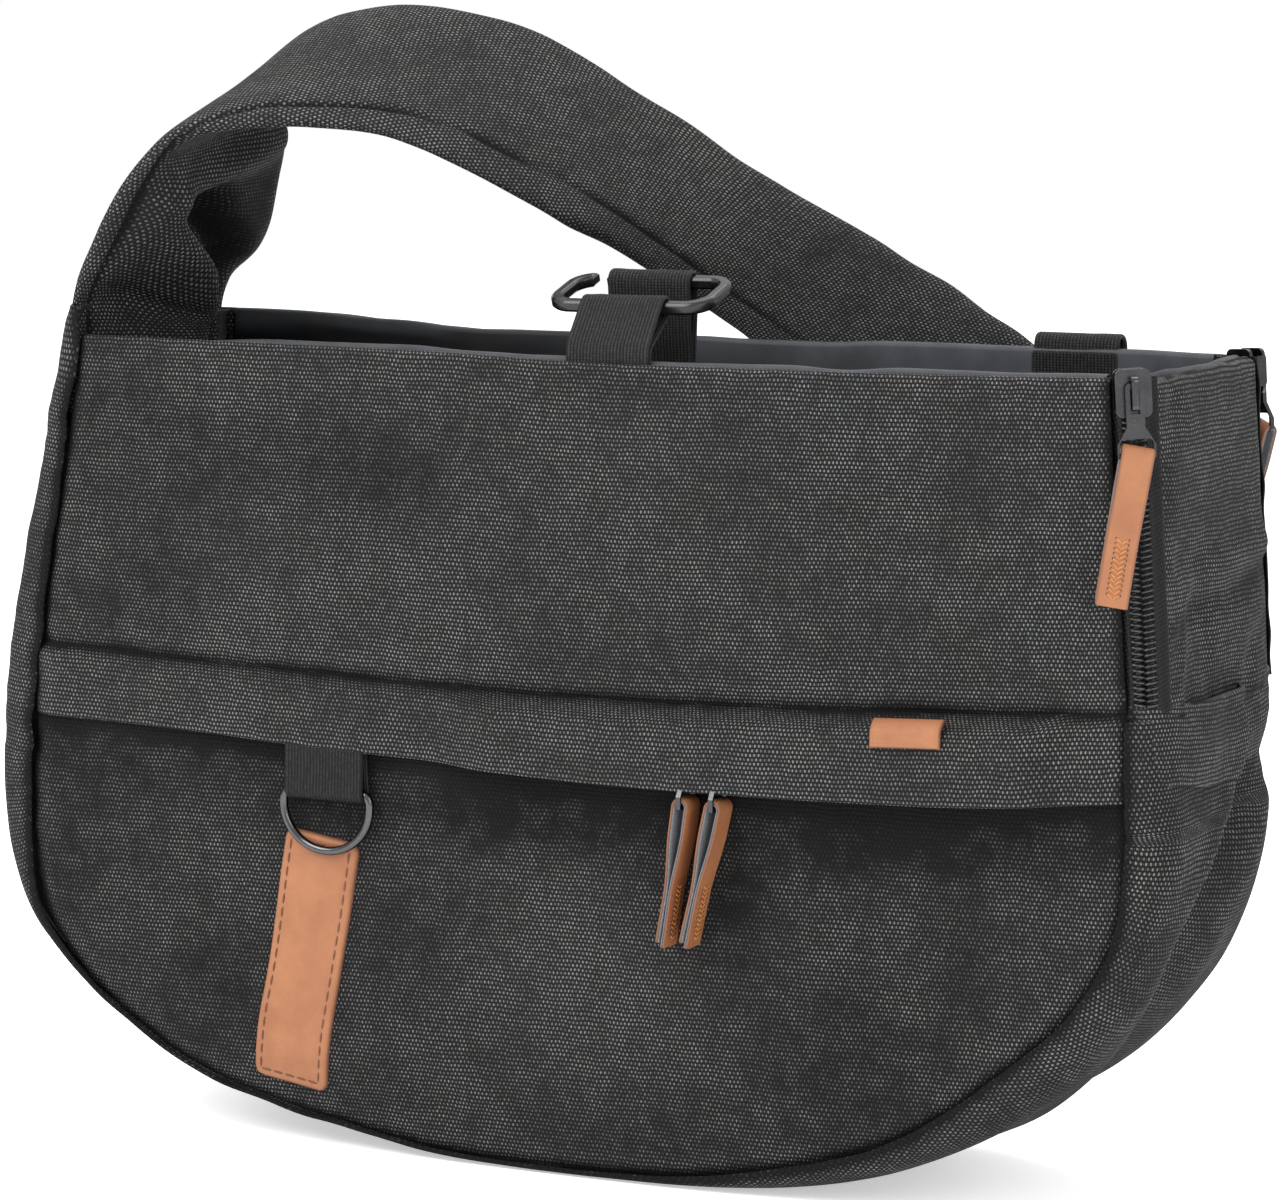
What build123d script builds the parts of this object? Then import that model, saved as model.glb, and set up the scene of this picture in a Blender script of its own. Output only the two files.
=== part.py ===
"""Sling carrier bag: a D-shaped canvas body with a padded shoulder strap, a drop-down side flap between two
zips, a zipped front pocket under a welt, a D-ring, and a short safety leash clipped over the mouth.

Millimetres. +X is the flap end, +Y is the wearer's side, +Z is up. The origin is at the middle of the
bottom of the body, without the strap's offset. Each sewn or moulded piece is its own STEP file.
"""

import math
import os

from build123d import *

os.makedirs("parts", exist_ok=True)

# Driving dimensions of the body
HEIGHT = 236.0  # top edge of the body
HALF_TOP = 175.0  # half length at the top edge, outside the gusset
HALF_MID = 182.5  # half length at the widest level
Z_MID = 110.0  # level where the straight sides meet the curved bottom
DROP = 114.0  # from that level down to the bottom of the full curve
HALF_DEPTH = 48.0  # half of the distance over the front and back canvas
SEAM_INSET = 10.0  # from the gusset's outside to the panel seam, and the gusset's corner chamfer
SEAM_Z = 143.0  # seam at the top of the welt, and the foot of the side flap
WELT_Z = 119.0  # free lower edge of the welt

# Cloth and padding
CANVAS = 1.2
FOAM = 3.0
LINING = 0.6
WEBBING = 1.2
WEBBING_WIDTH = 25.0
LEATHER = 1.3
GAP = 0.3  # clearance between pieces that move apart

# Zips: a coil chain on a tape, with a slider, a metal pull and a folded leather tab
CHAIN_HALF_GAP = 0.9
CHAIN_HALF_WIDTH = 3.3
CHAIN_HEIGHT = 2.3
TAPE = 0.5
STRIP_HALF = 6.2  # half width of the tape that shows between the canvas edges
SLIDER_LENGTH = 13.0
SLIDER_HALF = 4.9
PLATE = 1.1  # thickness of the slider's two plates
LOW_PLATE_Z = -0.65  # inner face of the lower plate, from the middle of the tape
TOP_PLATE_Z = 3.0  # inner face of the upper plate
BRIDGE_HALF = 0.9
BRIDGE_HOLE = 3.0
BRIDGE_BAR = 1.1
PIVOT_Y = 2.0
PIVOT_Z = TOP_PLATE_Z + PLATE + BRIDGE_HOLE / 2  # the pull's cross bar when it lies along the zip
HANDLE_Z = TOP_PLATE_Z + PLATE + BRIDGE_HOLE + BRIDGE_BAR / 2  # middle of the bridge's own bar
PULL_LENGTH = 18.5  # from the cross bar to the middle of the bar that holds the leather
PULL_NECK = 2.5
PULL_HALF = 5.2
PULL_THICKNESS = 1.4
WINDOW_HALF = 1.25
BAR = 1.6
TAB_HALF = 4.2
TAB_BORE = 1.35
TAB_LEATHER = 1.25
TAB_LENGTH = 42.0
TAB_SEWN = 22.0  # length of the tab that is sewn flat

# Side zips and flap
ZIP_TURN = 28.0  # how far the side zips turn from the panel towards the flap, in degrees
SIDE_ZIP_TOP = 88.0  # slider's place above SEAM_Z when the zip is closed
SIDE_ZIP_FOOT = 8.0
FLAP_EDGE = 41.2  # half depth of the flap's canvas

# Front pocket zip
POCKET_ZIP_Z = 128.0
POCKET_ZIP_HALF = 150.0
POCKET_SLIDERS = {"left": 40.0, "right": 54.4}
POCKET_PULL_SHIFT = 2.2  # the hanging pulls rest towards the ends of their bridges that face each other
POCKET_TAPE_Y = -HALF_DEPTH + CANVAS + 0.3
POCKET_WALL_Y = -44.4  # outer face of the pocket's inner wall
WELT_STAND = 10.7  # how far the welt stands off the panel to cover the sliders
WELT_THICKNESS = 1.5

# D-ring and leather patch
RING_X = -76.0
RING_BAR_Z = 106.5
RING_WIRE = 2.5
RING_INNER = 26.5
PATCH_SIZE = (24.0, 76.0)
PATCH_TILT = -8.8
PATCH_TOP = (-77.5, 93.0)

# Safety leash over the mouth
LEASH_X = 13.0
HOOK_SIZE = (52.0, 24.0)
HOOK_WIRE = 3.6
HOOK_FRONT_BAR = (-34.0, 249.5)
HOOK_REAR_BAR = (-14.0, 256.0)
LEASH_LAYER = 1.5

# Shoulder strap
STRAP_THICKNESS = 6.4
STRAP_AXIS_Z = HEIGHT + 0.6
STRAP_WEDGE = 30.0  # the strap's foot rises each way from its axis, so that it can lean this far
STRAP_REAR_GAP = 6.0
# Middle line of the strap's front edge and back edge at each station, from the left gusset over to the right
STRAP_STATIONS = [
    ((-172, -42, 235), (-172, 42, 235)),
    ((-163, -45, 262), (-164, 45, 262)),
    ((-152, -44, 281), (-158, 47, 287)),
    ((-138, -38, 294), (-152, 47, 308)),
    ((-120, -30, 298), (-138, 48, 324)),
    ((-99, -20, 299), (-116, 50, 333)),
    ((-76, -8, 296), (-90, 53, 334)),
    ((-55, 4, 285), (-61, 57, 326)),
    ((-34, 19, 271), (-31, 60, 309)),
    ((-14, 35, 256), (5, 64, 287)),
    ((4, 51, 240), (41, 66, 266)),
    ((32, 56, 220), (75, 63, 246)),
    ((70, 54, 193), (110, 56, 225)),
    ((120, 52, 157), (146, 53, 195)),
    ((169, 51.4, 118), (169.4, 51.4, 168)),
]

LEASH_STATIONS = [
    (12, -14, 252),
    (12, -14, 228),
    (18, -10, 205),
    (45, 4, 192),
    (84, 22, 192),
    (110, 35, 204),
    (119, 40.4, 222),
    (120, 40.7, 235),
]


def block(low, high):
    """A box between two corners."""
    size = [b - a for a, b in zip(low, high)]
    middle = [(a + b) / 2 for a, b in zip(low, high)]
    return Pos(*middle) * Box(*size)


def half_length(z, inset=0.0):
    """Half length of the body at a level above the widest one."""
    share = (z - Z_MID) / (HEIGHT - Z_MID)
    return HALF_MID + (HALF_TOP - HALF_MID) * share - inset


def body_face(inset, top=HEIGHT):
    """The D-shaped outline in X and Z, inset all round but open at the top: straight sides on a half ellipse."""
    low = Pos(0, Z_MID) * Ellipse(HALF_MID - inset, DROP - inset)
    low &= Pos(0, Z_MID - DROP / 2) * Rectangle(4 * HALF_MID, DROP)
    wide, narrow = half_length(Z_MID, inset), half_length(top, inset)
    high = Polygon((-wide, Z_MID), (wide, Z_MID), (narrow, top), (-narrow, top), align=None)
    return low + high


def prism(inset, y_front, y_back, top=HEIGHT):
    """The outline extruded between two depths."""
    middle, half = (y_front + y_back) / 2, (y_back - y_front) / 2
    return extrude(Plane.XZ.offset(-middle) * body_face(inset, top), half, both=True)


def chamfered_body(inset):
    """The body's full shape with its front and back edges chamfered, cut flat at the bottom."""
    depth = HALF_DEPTH - inset
    tall = prism(inset, -depth, depth, HEIGHT + 2 * SEAM_INSET)
    rim = [e for e in tall.edges() if abs(abs(e.center().Y) - depth) < 0.01]
    rim = [e for e in rim if e.bounding_box().max.Z < HEIGHT + SEAM_INSET or e.bounding_box().size.Z > 1]
    solid = chamfer(rim, SEAM_INSET)
    return solid & block((-300, -100, max(inset, 0)), (300, 100, HEIGHT))


def shell(outer, inner):
    """Cloth between two insets of the body, open at the front, back and top."""
    ring = chamfered_body(outer) - Pos(0, 0, 0.01) * extended(chamfered_body(inner))
    return ring - prism(SEAM_INSET + 0.3, -100, 100, HEIGHT + 5)


def extended(solid):
    """The same solid with its flat top carried up, so that it cuts through an open mouth."""
    face = solid.faces().sort_by(Axis.Z)[-1]
    return solid + extrude(face, 5, dir=(0, 0, 1))


def side_zip_plane(side):
    """Frame of a side zip: X across the strip towards the flap, Y up the zip, Z outwards. side is -1 at the front."""
    lean = math.atan((HALF_MID - HALF_TOP) / (HEIGHT - Z_MID))
    up = Vector(-math.sin(lean), 0, math.cos(lean))
    turn = math.radians(ZIP_TURN)
    across = Vector(math.cos(turn), -side * math.sin(turn), 0)
    across = (across - up * across.dot(up)).normalized()
    outward = Vector(across.cross(up)) if side < 0 else Vector(up.cross(across))
    start = Vector(half_length(SEAM_Z, SEAM_INSET + 1.0), side * (HALF_DEPTH - 0.6), SEAM_Z)
    origin = start + across * STRIP_HALF
    if side < 0:
        return Plane(origin=origin, x_dir=across, z_dir=outward)
    return Plane(origin=origin, x_dir=across * -1, z_dir=outward)


def pocket_zip_plane():
    """Frame of the pocket zip: Y along +X of the bag, X across and down, Z outwards."""
    return Plane(origin=(0, POCKET_TAPE_Y, POCKET_ZIP_Z), x_dir=(0, 0, -1), z_dir=(0, -1, 0))


def zip_tape(side, low, high, outer=STRIP_HALF):
    """One half of the tape, on the side of -X or +X of the zip's frame."""
    edges = sorted((side * CHAIN_HALF_GAP, side * outer))
    return block((edges[0], low, -TAPE / 2), (edges[1], high, TAPE / 2))


def zip_coil(side, low, high):
    """One half of the chain: a rounded bar on the tape, with a gap in the middle for the slider's post."""
    middle = side * (CHAIN_HALF_GAP + CHAIN_HALF_WIDTH) / 2
    width = CHAIN_HALF_WIDTH - CHAIN_HALF_GAP
    bar = Pos(middle, (low + high) / 2, TAPE / 2 + CHAIN_HEIGHT / 2) * Box(width, high - low, CHAIN_HEIGHT)
    long_edges = bar.edges().filter_by(Axis.Y).group_by(Axis.Z)[-1]
    return fillet(long_edges, 0.8)


def zip_slider(nose):
    """Slider at its frame's origin: two plates, side flanges, a post at the nose and a bridge for the pull."""
    half = SLIDER_LENGTH / 2
    body = Part()
    for low in (LOW_PLATE_Z - PLATE, TOP_PLATE_Z):
        plate = block((-SLIDER_HALF, -half, low), (SLIDER_HALF, half, low + PLATE))
        body += fillet(plate.edges().filter_by(Axis.Z), 2.0)
    for side in (-1, 1):
        edges = sorted((side * (SLIDER_HALF - 1.0), side * SLIDER_HALF))
        body += block((edges[0], -half + 2.2, 1.1), (edges[1], half - 2.2, TOP_PLATE_Z))
    post_y = nose * (half - 1.6)
    body += block((-0.55, post_y - 1.3, LOW_PLATE_Z), (0.55, post_y + 1.3, TOP_PLATE_Z))
    base = TOP_PLATE_Z + PLATE
    bridge = block((-BRIDGE_HALF, -4.6, base), (BRIDGE_HALF, 4.6, base + BRIDGE_HOLE + BRIDGE_BAR))
    bridge = fillet(bridge.edges().filter_by(Axis.X).group_by(Axis.Z)[-1], 1.4)
    bridge -= block((-2, -3.2, base), (2, 3.5, base + BRIDGE_HOLE))
    return body + bridge


def zip_pull():
    """Metal pull with its cross bar on the frame's X axis, hanging towards -Y, with a window for the leather."""
    end = -PULL_LENGTH - BAR / 2
    outline = Polygon(
        (-PULL_NECK, 0.8), (-PULL_NECK, -11.0), (-PULL_HALF, -15.5), (-PULL_HALF, end),
        (PULL_HALF, end), (PULL_HALF, -15.5), (PULL_NECK, -11.0), (PULL_NECK, 0.8),
        align=None,
    )
    plate = extrude(outline, PULL_THICKNESS / 2, both=True)
    plate = fillet(plate.edges().filter_by(Axis.Z).group_by(Axis.Y)[-1], 1.3)
    plate = fillet(plate.edges().filter_by(Axis.Z).group_by(Axis.Y)[0], 0.7)
    plate -= block((-WINDOW_HALF, -7.4, -2), (WINDOW_HALF, -0.7, 2))
    low, high = -PULL_LENGTH + BAR / 2, -PULL_LENGTH + BAR / 2 + 3.6
    window = block((-TAB_HALF - 0.3, low, -2), (TAB_HALF + 0.3, high, 2))
    window = fillet(window.edges().filter_by(Axis.Z).group_by(Axis.Y)[-1], 1.2)
    return plate - window


def leather_tab():
    """Leather strip folded round a bar on the frame's X axis, its two layers hanging towards -Y and sewn below."""
    outer = TAB_BORE + TAB_LEATHER
    eye = Rot(0, 90, 0) * (Cylinder(outer, 2 * TAB_HALF) - Cylinder(TAB_BORE, 2 * TAB_HALF))
    eye &= block((-20, 0, -20), (20, 20, 20))
    layers = block((-TAB_HALF, -TAB_LENGTH, -outer), (TAB_HALF, 0, outer))
    layers -= block((-20, -TAB_LENGTH + TAB_SEWN, -TAB_BORE), (20, 1, TAB_BORE))
    return eye + layers


def zip_set(prefix, plane, along, nose, hanging_shift=None):
    """A slider with its pull and tab. A pull lies along its zip, or hangs across it at a shift along the bridge."""
    at = plane.location * Pos(0, along, 0)
    if hanging_shift is None:
        pull_frame = at * Pos(0, PIVOT_Y, PIVOT_Z)
    else:
        rise = BRIDGE_HALF + 0.5 + 0.7
        pull_frame = at * Pos(-rise, hanging_shift, HANDLE_Z) * Rot(0, 0, 90) * Rot(0, 90, 0)
    return {
        prefix + "_slider": at * zip_slider(nose),
        prefix + "_pull": pull_frame * zip_pull(),
        prefix + "_tab": pull_frame * Pos(0, -PULL_LENGTH, 0) * leather_tab(),
    }


def band_along(stations, low, high):
    """Layer of a band between two distances from its middle surface, through pairs of edge points."""
    count = len(stations)
    middles = [(Vector(*a) + Vector(*b)) * 0.5 for a, b in stations]
    sections = []
    for i, (a, b) in enumerate(stations):
        run = middles[min(i + 1, count - 1)] - middles[max(i - 1, 0)]
        normal = run.cross(Vector(*b) - Vector(*a)).normalized()
        corners = [Vector(*a) + normal * low, Vector(*b) + normal * low]
        corners += [Vector(*b) + normal * high, Vector(*a) + normal * high]
        sections.append(Face(Wire.make_polygon(corners, close=True)))
    return Solid.make_loft([s.outer_wire() for s in sections], ruled=True)


def front_layers():
    """The front of the body from the outside in, with the pocket's two walls."""
    front, zip_low = -HALF_DEPTH, POCKET_ZIP_Z - STRIP_HALF
    window = side_zip_plane(-1).location * block((-STRIP_HALF, 0, -14), (40, 200, 14))
    canvas = prism(SEAM_INSET + 0.4, front, front + CANVAS)
    upper = (canvas & block((-300, -100, SEAM_Z), (300, 100, HEIGHT))) - window
    lower = canvas & block((-300, -100, 0), (300, 100, zip_low))
    wall = prism(SEAM_INSET + 0.4, POCKET_WALL_Y, POCKET_WALL_Y + LINING, SEAM_Z)
    y_foam = POCKET_WALL_Y + LINING + 0.1
    foam = prism(SEAM_INSET + 2, y_foam, y_foam + FOAM, HEIGHT - 1)
    upper_foam = prism(SEAM_INSET + 2, front + CANVAS + 0.1, y_foam, HEIGHT - 1)
    foam += upper_foam & block((-300, -100, SEAM_Z + 2), (300, 100, HEIGHT))
    keeper_space = block((LEASH_X - 13.0, -60, HEIGHT - 16), (LEASH_X + 13.0, 0, HEIGHT))
    y_lining = y_foam + FOAM + 0.1
    lining = prism(SEAM_INSET + 1, y_lining, y_lining + LINING)
    return {
        "front_upper_panel": upper,
        "pocket_panel": lower,
        "pocket_inner_wall": wall,
        "front_foam": foam - window - keeper_space,
        "front_lining": lining - window,
    }


def welt():
    """The strip over the pocket zip: sewn at the top, standing off over the sliders, flat at both ends."""
    front = -HALF_DEPTH
    outer, inner = front - WELT_STAND, front - WELT_STAND + WELT_THICKNESS
    section = Polygon(
        (front, SEAM_Z), (front - 1.0, SEAM_Z + 1.0), (outer, SEAM_Z - 2.5), (outer, WELT_Z),
        (inner, WELT_Z), (inner, SEAM_Z - 4.5), (front, SEAM_Z - 2.0),
        align=None,
    )
    x_left, x_right = -158.0, 154.0
    middle, half = (x_left + x_right) / 2, (x_right - x_left) / 2
    strip = extrude(Plane.YZ.offset(middle) * section, half, both=True)
    ends = prism(SEAM_INSET + 0.4, front - CANVAS, front)
    ends &= block((-300, -100, WELT_Z), (300, 100, SEAM_Z))
    ends -= block((x_left, -100, 0), (x_right, 100, 300))
    return strip + ends


def back_layers():
    """The wearer's side from the outside in."""
    back = HALF_DEPTH
    window = side_zip_plane(1).location * block((-40, 0, -14), (STRIP_HALF, 200, 14))
    canvas = prism(SEAM_INSET + 0.4, back - CANVAS, back) - window
    y_foam = back - CANVAS - 0.1
    foam = prism(SEAM_INSET + 2, y_foam - FOAM, y_foam, HEIGHT - 1) - window
    lining = prism(SEAM_INSET + 1, y_foam - FOAM - 0.1 - LINING, y_foam - FOAM - 0.1) - window
    return {"back_panel": canvas, "back_foam": foam, "back_lining": lining}


def gusset_parts():
    """The long side strip, its lining, and the band that finishes it at the flap end."""
    flap_space = block((0, -100, SEAM_Z), (300, 100, 400))
    cloth = shell(0, CANVAS) - flap_space
    lining = shell(CANVAS + 0.1, CANVAS + 0.1 + LINING) - flap_space
    band = shell(-1.3, -0.1) & block((0, -100, WELT_Z), (300, 100, SEAM_Z))
    return {"gusset": cloth, "gusset_lining": lining, "flap_end_band": band}


def base_parts():
    """Stiff board and pad in the bottom of the tub."""
    board = fillet(block((-48, -32, 2.6), (48, 32, 4.6)).edges().filter_by(Axis.Z), 8)
    pad = fillet(block((-58, -34, 4.8), (58, 34, 9.8)).edges().filter_by(Axis.Z), 8)
    return {"base_board": board, "base_pad": pad}


def flap_plate(x_out, x_in, edge, low, high):
    """A slice of the leaning flap between two insets."""
    corners = [
        (half_length(low, x_out), low), (half_length(high, x_out), high),
        (half_length(high, x_in), high), (half_length(low, x_in), low),
    ]
    return extrude(Plane.XZ * Polygon(*corners, align=None), edge, both=True)


def side_flap_parts():
    """The drop-down flap between the two side zips, with its halves of the chains."""
    foot = SEAM_Z + 1.0
    parts = {
        "side_flap": flap_plate(0, CANVAS, FLAP_EDGE, foot, HEIGHT),
        "side_flap_foam": flap_plate(CANVAS + 0.1, CANVAS + 2.1, FLAP_EDGE - 2, foot, HEIGHT - 1),
        "side_flap_lining": flap_plate(CANVAS + 2.2, CANVAS + 2.2 + LINING, FLAP_EDGE - 1.6, foot, HEIGHT),
    }
    for name, side in (("front", -1), ("rear", 1)):
        place = side_zip_plane(side).location
        fixed, moving = (-1, 1) if side < 0 else (1, -1)
        parts[f"side_zip_{name}_flap_tape"] = place * zip_tape(moving, 2, 92)
        parts[f"side_zip_{name}_flap_coil"] = place * zip_coil(moving, 2, 92)
        parts[f"side_zip_{name}_body_tape"] = place * zip_tape(fixed, 0, 92)
        parts[f"side_zip_{name}_body_coil"] = place * zip_coil(fixed, 0, 92)
        parts.update(zip_set(f"side_{name}", side_zip_plane(side), SIDE_ZIP_TOP, 1))
    return parts


def pocket_zip_parts():
    """The pocket zip with two sliders that meet nose to nose."""
    plane = pocket_zip_plane()
    place = plane.location
    parts = {}
    reach = {"upper": SEAM_Z - POCKET_ZIP_Z, "lower": STRIP_HALF + 1.5}
    for name, side in (("upper", -1), ("lower", 1)):
        parts[f"pocket_zip_{name}_tape"] = place * zip_tape(
            side, -POCKET_ZIP_HALF, POCKET_ZIP_HALF, reach[name]
        )
        parts[f"pocket_zip_{name}_coil"] = place * zip_coil(side, -POCKET_ZIP_HALF + 5, POCKET_ZIP_HALF - 5)
    stops = Part()
    for end in (-1, 1):
        for side in (-1, 1):
            stops += place * Pos(side * 2.1, end * (POCKET_ZIP_HALF - 3), 1.4) * Box(2.6, 3, 2.2)
    parts["pocket_zip_stops"] = stops
    for name, nose in (("left", 1), ("right", -1)):
        shift = nose * POCKET_PULL_SHIFT
        parts.update(zip_set(f"pocket_{name}", plane, POCKET_SLIDERS[name], nose, shift))
    return parts


def ring_parts():
    """The D-ring, its webbing loop and the leather patch under it."""
    y_ring = -HALF_DEPTH - 3.4
    wire, half, corner, drop = RING_WIRE / 2, (RING_INNER + RING_WIRE) / 2, 3.0, 4.0
    diagonal = corner * math.sin(math.radians(45))
    path = Wire(
        [
            Line((corner - half, 0), (half - corner, 0)),
            ThreePointArc((half - corner, 0), (half - corner + diagonal, diagonal - corner), (half, -corner)),
            Line((half, -corner), (half, -drop)),
            EllipticalCenterArc((0, -drop), half, 13.5, start_angle=180, arc_size=180),
            Line((-half, -drop), (-half, -corner)),
            ThreePointArc((-half, -corner), (corner - half - diagonal, diagonal - corner), (corner - half, 0)),
        ]
    )
    profile = Plane(origin=path @ 0, z_dir=path % 0) * Circle(wire)
    ring = Pos(RING_X, y_ring, RING_BAR_Z) * Rot(90, 0, 0) * sweep(profile, path)
    inner, outer = wire + GAP, wire + GAP + WEBBING
    loop = Rot(0, 90, 0) * (Cylinder(outer, WEBBING_WIDTH) - Cylinder(inner, WEBBING_WIDTH))
    loop = Pos(RING_X, y_ring, RING_BAR_Z) * loop
    x_low, x_high = RING_X - WEBBING_WIDTH / 2, RING_X + WEBBING_WIDTH / 2
    tail = block((x_low, y_ring - 0.6, RING_BAR_Z + inner + 0.2), (x_high, y_ring + 1.8, 121.0))
    foot = block((x_low, y_ring + 1.8, 116.5), (x_high, -HALF_DEPTH, 121.0))
    patch = Box(PATCH_SIZE[0], PATCH_SIZE[1], 1.8)
    patch = fillet(patch.edges().filter_by(Axis.Z), 3.0)
    patch = fillet(patch.faces().sort_by(Axis.Z)[-1].edges(), 0.5)
    patch = Rot(90, 0, 0) * Rot(0, 0, PATCH_TILT) * Pos(0, -PATCH_SIZE[1] / 2, 0) * patch
    patch = Pos(PATCH_TOP[0], -HALF_DEPTH - 0.9, PATCH_TOP[1]) * patch
    return {"d_ring": ring, "d_ring_webbing": loop + tail + foot, "leather_patch": patch}


def label_part():
    """Small folded leather label sewn into the welt's upper seam."""
    y_welt = -HALF_DEPTH - WELT_STAND
    return {"leather_label": block((100, y_welt - 1.5, 132.5), (121, y_welt, 140.3))}


def hook_frame():
    """Frame of the leash hook: X along its bars, Y from the front bar to the rear bar."""
    (y0, z0), (y1, z1) = HOOK_FRONT_BAR, HOOK_REAR_BAR
    origin = (LEASH_X, (y0 + y1) / 2, (z0 + z1) / 2)
    rise = Vector(0, y1 - y0, z1 - z0).normalized()
    return Plane(origin=origin, x_dir=(1, 0, 0), z_dir=Vector(1, 0, 0).cross(rise))


def webbing_loop(bar, foot_y, foot_z, x_middle):
    """Doubled webbing that rises from a foot and closes round a bar along X."""
    y, z = bar
    inner = HOOK_WIRE / 2 + 0.45
    eye = Rot(0, 90, 0) * (Cylinder(inner + WEBBING, WEBBING_WIDTH) - Cylinder(inner, WEBBING_WIDTH))
    run = Vector(0, foot_y - y, foot_z - z)
    length = run.length - inner - 0.2
    way = run.normalized()
    middle = Vector(0, y, z) + way * (inner + 0.2 + length / 2)
    plate = Box(WEBBING_WIDTH, 2 * WEBBING, length)
    plane = Plane(origin=(x_middle, middle.Y, middle.Z), x_dir=(1, 0, 0), z_dir=way)
    return Pos(x_middle, y, z) * eye + plane.location * plate


def leash_parts():
    """The hook over the mouth, the short loop that keeps it, and the leash with its anchor on the back edge."""
    long, wide = HOOK_SIZE
    outline = fillet(Rectangle(long, wide).vertices(), 8.0)
    hole = fillet(Rectangle(long - 2 * HOOK_WIRE, wide - 2 * HOOK_WIRE).vertices(), 4.8)
    ring = Pos(0, 0, -HOOK_WIRE / 2) * extrude(outline - hole, HOOK_WIRE)
    ring -= block((-19.0, 0, -5), (-15.0, 20, 5))
    sides = ring.faces().sort_by(Axis.Z)
    ring = chamfer(sides[0].edges() + sides[-1].edges(), 0.8)
    hook = hook_frame().location * ring
    y_half = HOOK_SIZE[1] / 2 - HOOK_WIRE / 2
    frame = hook_frame()
    front = frame.from_local_coords(Vector(0, -y_half, 0))
    rear = frame.from_local_coords(Vector(0, y_half, 0))
    y_foot = -HALF_DEPTH + CANVAS + LINING + FOAM / 2 + 0.2
    keeper = webbing_loop((front.Y, front.Z), y_foot, HEIGHT + 1.2, LEASH_X)
    keeper += block(
        (LEASH_X - WEBBING_WIDTH / 2, y_foot - WEBBING, HEIGHT - 15),
        (LEASH_X + WEBBING_WIDTH / 2, y_foot + WEBBING, HEIGHT + 1.2),
    )
    half = WEBBING_WIDTH / 2
    stations = [((x - half, y, z), (x + half, y, z)) for x, y, z in LEASH_STATIONS]
    leash = band_along(stations[1:], -LEASH_LAYER / 2, LEASH_LAYER / 2)
    leash += webbing_loop((rear.Y, rear.Z), LEASH_STATIONS[1][1], LEASH_STATIONS[1][2], LEASH_X - 1)
    x_low, x_high = LEASH_STATIONS[-1][0] - half, LEASH_STATIONS[-1][0] + half
    inside = HALF_DEPTH - CANVAS - FOAM - LINING - 0.5
    anchor = block((x_low, inside - WEBBING, 220), (x_high, HALF_DEPTH + 1.5, HEIGHT + 1.7))
    anchor -= block((x_low - 1, inside, 200), (x_high + 1, HALF_DEPTH + 0.3, HEIGHT + 0.3))
    anchor -= block((x_low - 1, HALF_DEPTH, 200), (x_high + 1, HALF_DEPTH + 9, 226))
    return {"leash_hook": hook, "leash_keeper_loop": keeper, "safety_leash": leash, "leash_anchor": anchor}


def strap_parts():
    """Two canvas faces with padding between, as a free loop and a tail sewn to the wearer's side."""
    half = STRAP_THICKNESS / 2
    left_pivot = Pos(-172, 0, STRAP_AXIS_Z)
    foot = Pos(0, 0, -60) * Box(60, 260, 120)
    wedge = left_pivot * Rot(STRAP_WEDGE, 0, 0) * foot + left_pivot * Rot(-STRAP_WEDGE, 0, 0) * foot
    layers = {
        "outer_face": (half - CANVAS, half),
        "padding": (-half + CANVAS, half - CANVAS),
        "inner_face": (-half, -half + CANVAS),
    }
    parts = {}
    for name, (low, high) in layers.items():
        whole = band_along(STRAP_STATIONS, low, high)
        free = whole - wedge - block((-100, -100, 0), (300, 200, HEIGHT + STRAP_REAR_GAP))
        parts["strap_" + name] = free
        parts["strap_tail_" + name] = whole & block((-100, -100, 0), (300, 200, HEIGHT))
    return parts


def main():
    parts = {}
    parts.update(front_layers())
    parts["welt"] = welt()
    parts.update(back_layers())
    parts.update(gusset_parts())
    parts.update(base_parts())
    parts.update(side_flap_parts())
    parts.update(pocket_zip_parts())
    parts.update(ring_parts())
    parts.update(label_part())
    parts.update(leash_parts())
    parts.update(strap_parts())
    for name, shape in parts.items():
        solids = shape.solids()
        whole = Compound(children=list(solids)) if len(solids) > 1 else solids[0]
        export_step(whole, f"parts/{name}.step")


main()
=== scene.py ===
"""Looks of the sling carrier bag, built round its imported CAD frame.

Shapes are worked out in millimetres in the CAD frame and turned into metres as each mesh is made.
+X is the flap end, -Y is the front, +Z is up.
"""

import math

import bmesh
import bpy
import numpy as np
from mathutils import Matrix, Vector


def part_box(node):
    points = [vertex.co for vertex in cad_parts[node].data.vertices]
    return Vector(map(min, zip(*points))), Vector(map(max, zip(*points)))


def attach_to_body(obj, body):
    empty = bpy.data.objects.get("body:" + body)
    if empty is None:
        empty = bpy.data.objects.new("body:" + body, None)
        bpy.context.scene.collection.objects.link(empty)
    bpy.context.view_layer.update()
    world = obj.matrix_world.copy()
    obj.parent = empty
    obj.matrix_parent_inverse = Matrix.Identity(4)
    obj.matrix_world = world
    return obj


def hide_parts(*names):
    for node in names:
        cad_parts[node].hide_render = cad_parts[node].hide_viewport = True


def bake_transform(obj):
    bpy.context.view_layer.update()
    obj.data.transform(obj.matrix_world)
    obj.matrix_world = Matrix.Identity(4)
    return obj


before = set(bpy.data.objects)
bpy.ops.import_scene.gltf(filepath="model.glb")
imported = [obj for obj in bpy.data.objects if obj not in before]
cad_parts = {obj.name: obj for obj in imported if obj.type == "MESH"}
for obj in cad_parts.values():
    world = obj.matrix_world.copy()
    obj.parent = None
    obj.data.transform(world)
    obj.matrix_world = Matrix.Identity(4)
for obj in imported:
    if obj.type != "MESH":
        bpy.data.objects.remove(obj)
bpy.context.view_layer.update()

MM = 0.001


def low(node):
    """Lowest corner of a CAD node in millimetres."""
    return np.array(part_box(node)[0]) / MM


def high(node):
    """Highest corner of a CAD node in millimetres."""
    return np.array(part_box(node)[1]) / MM


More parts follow.
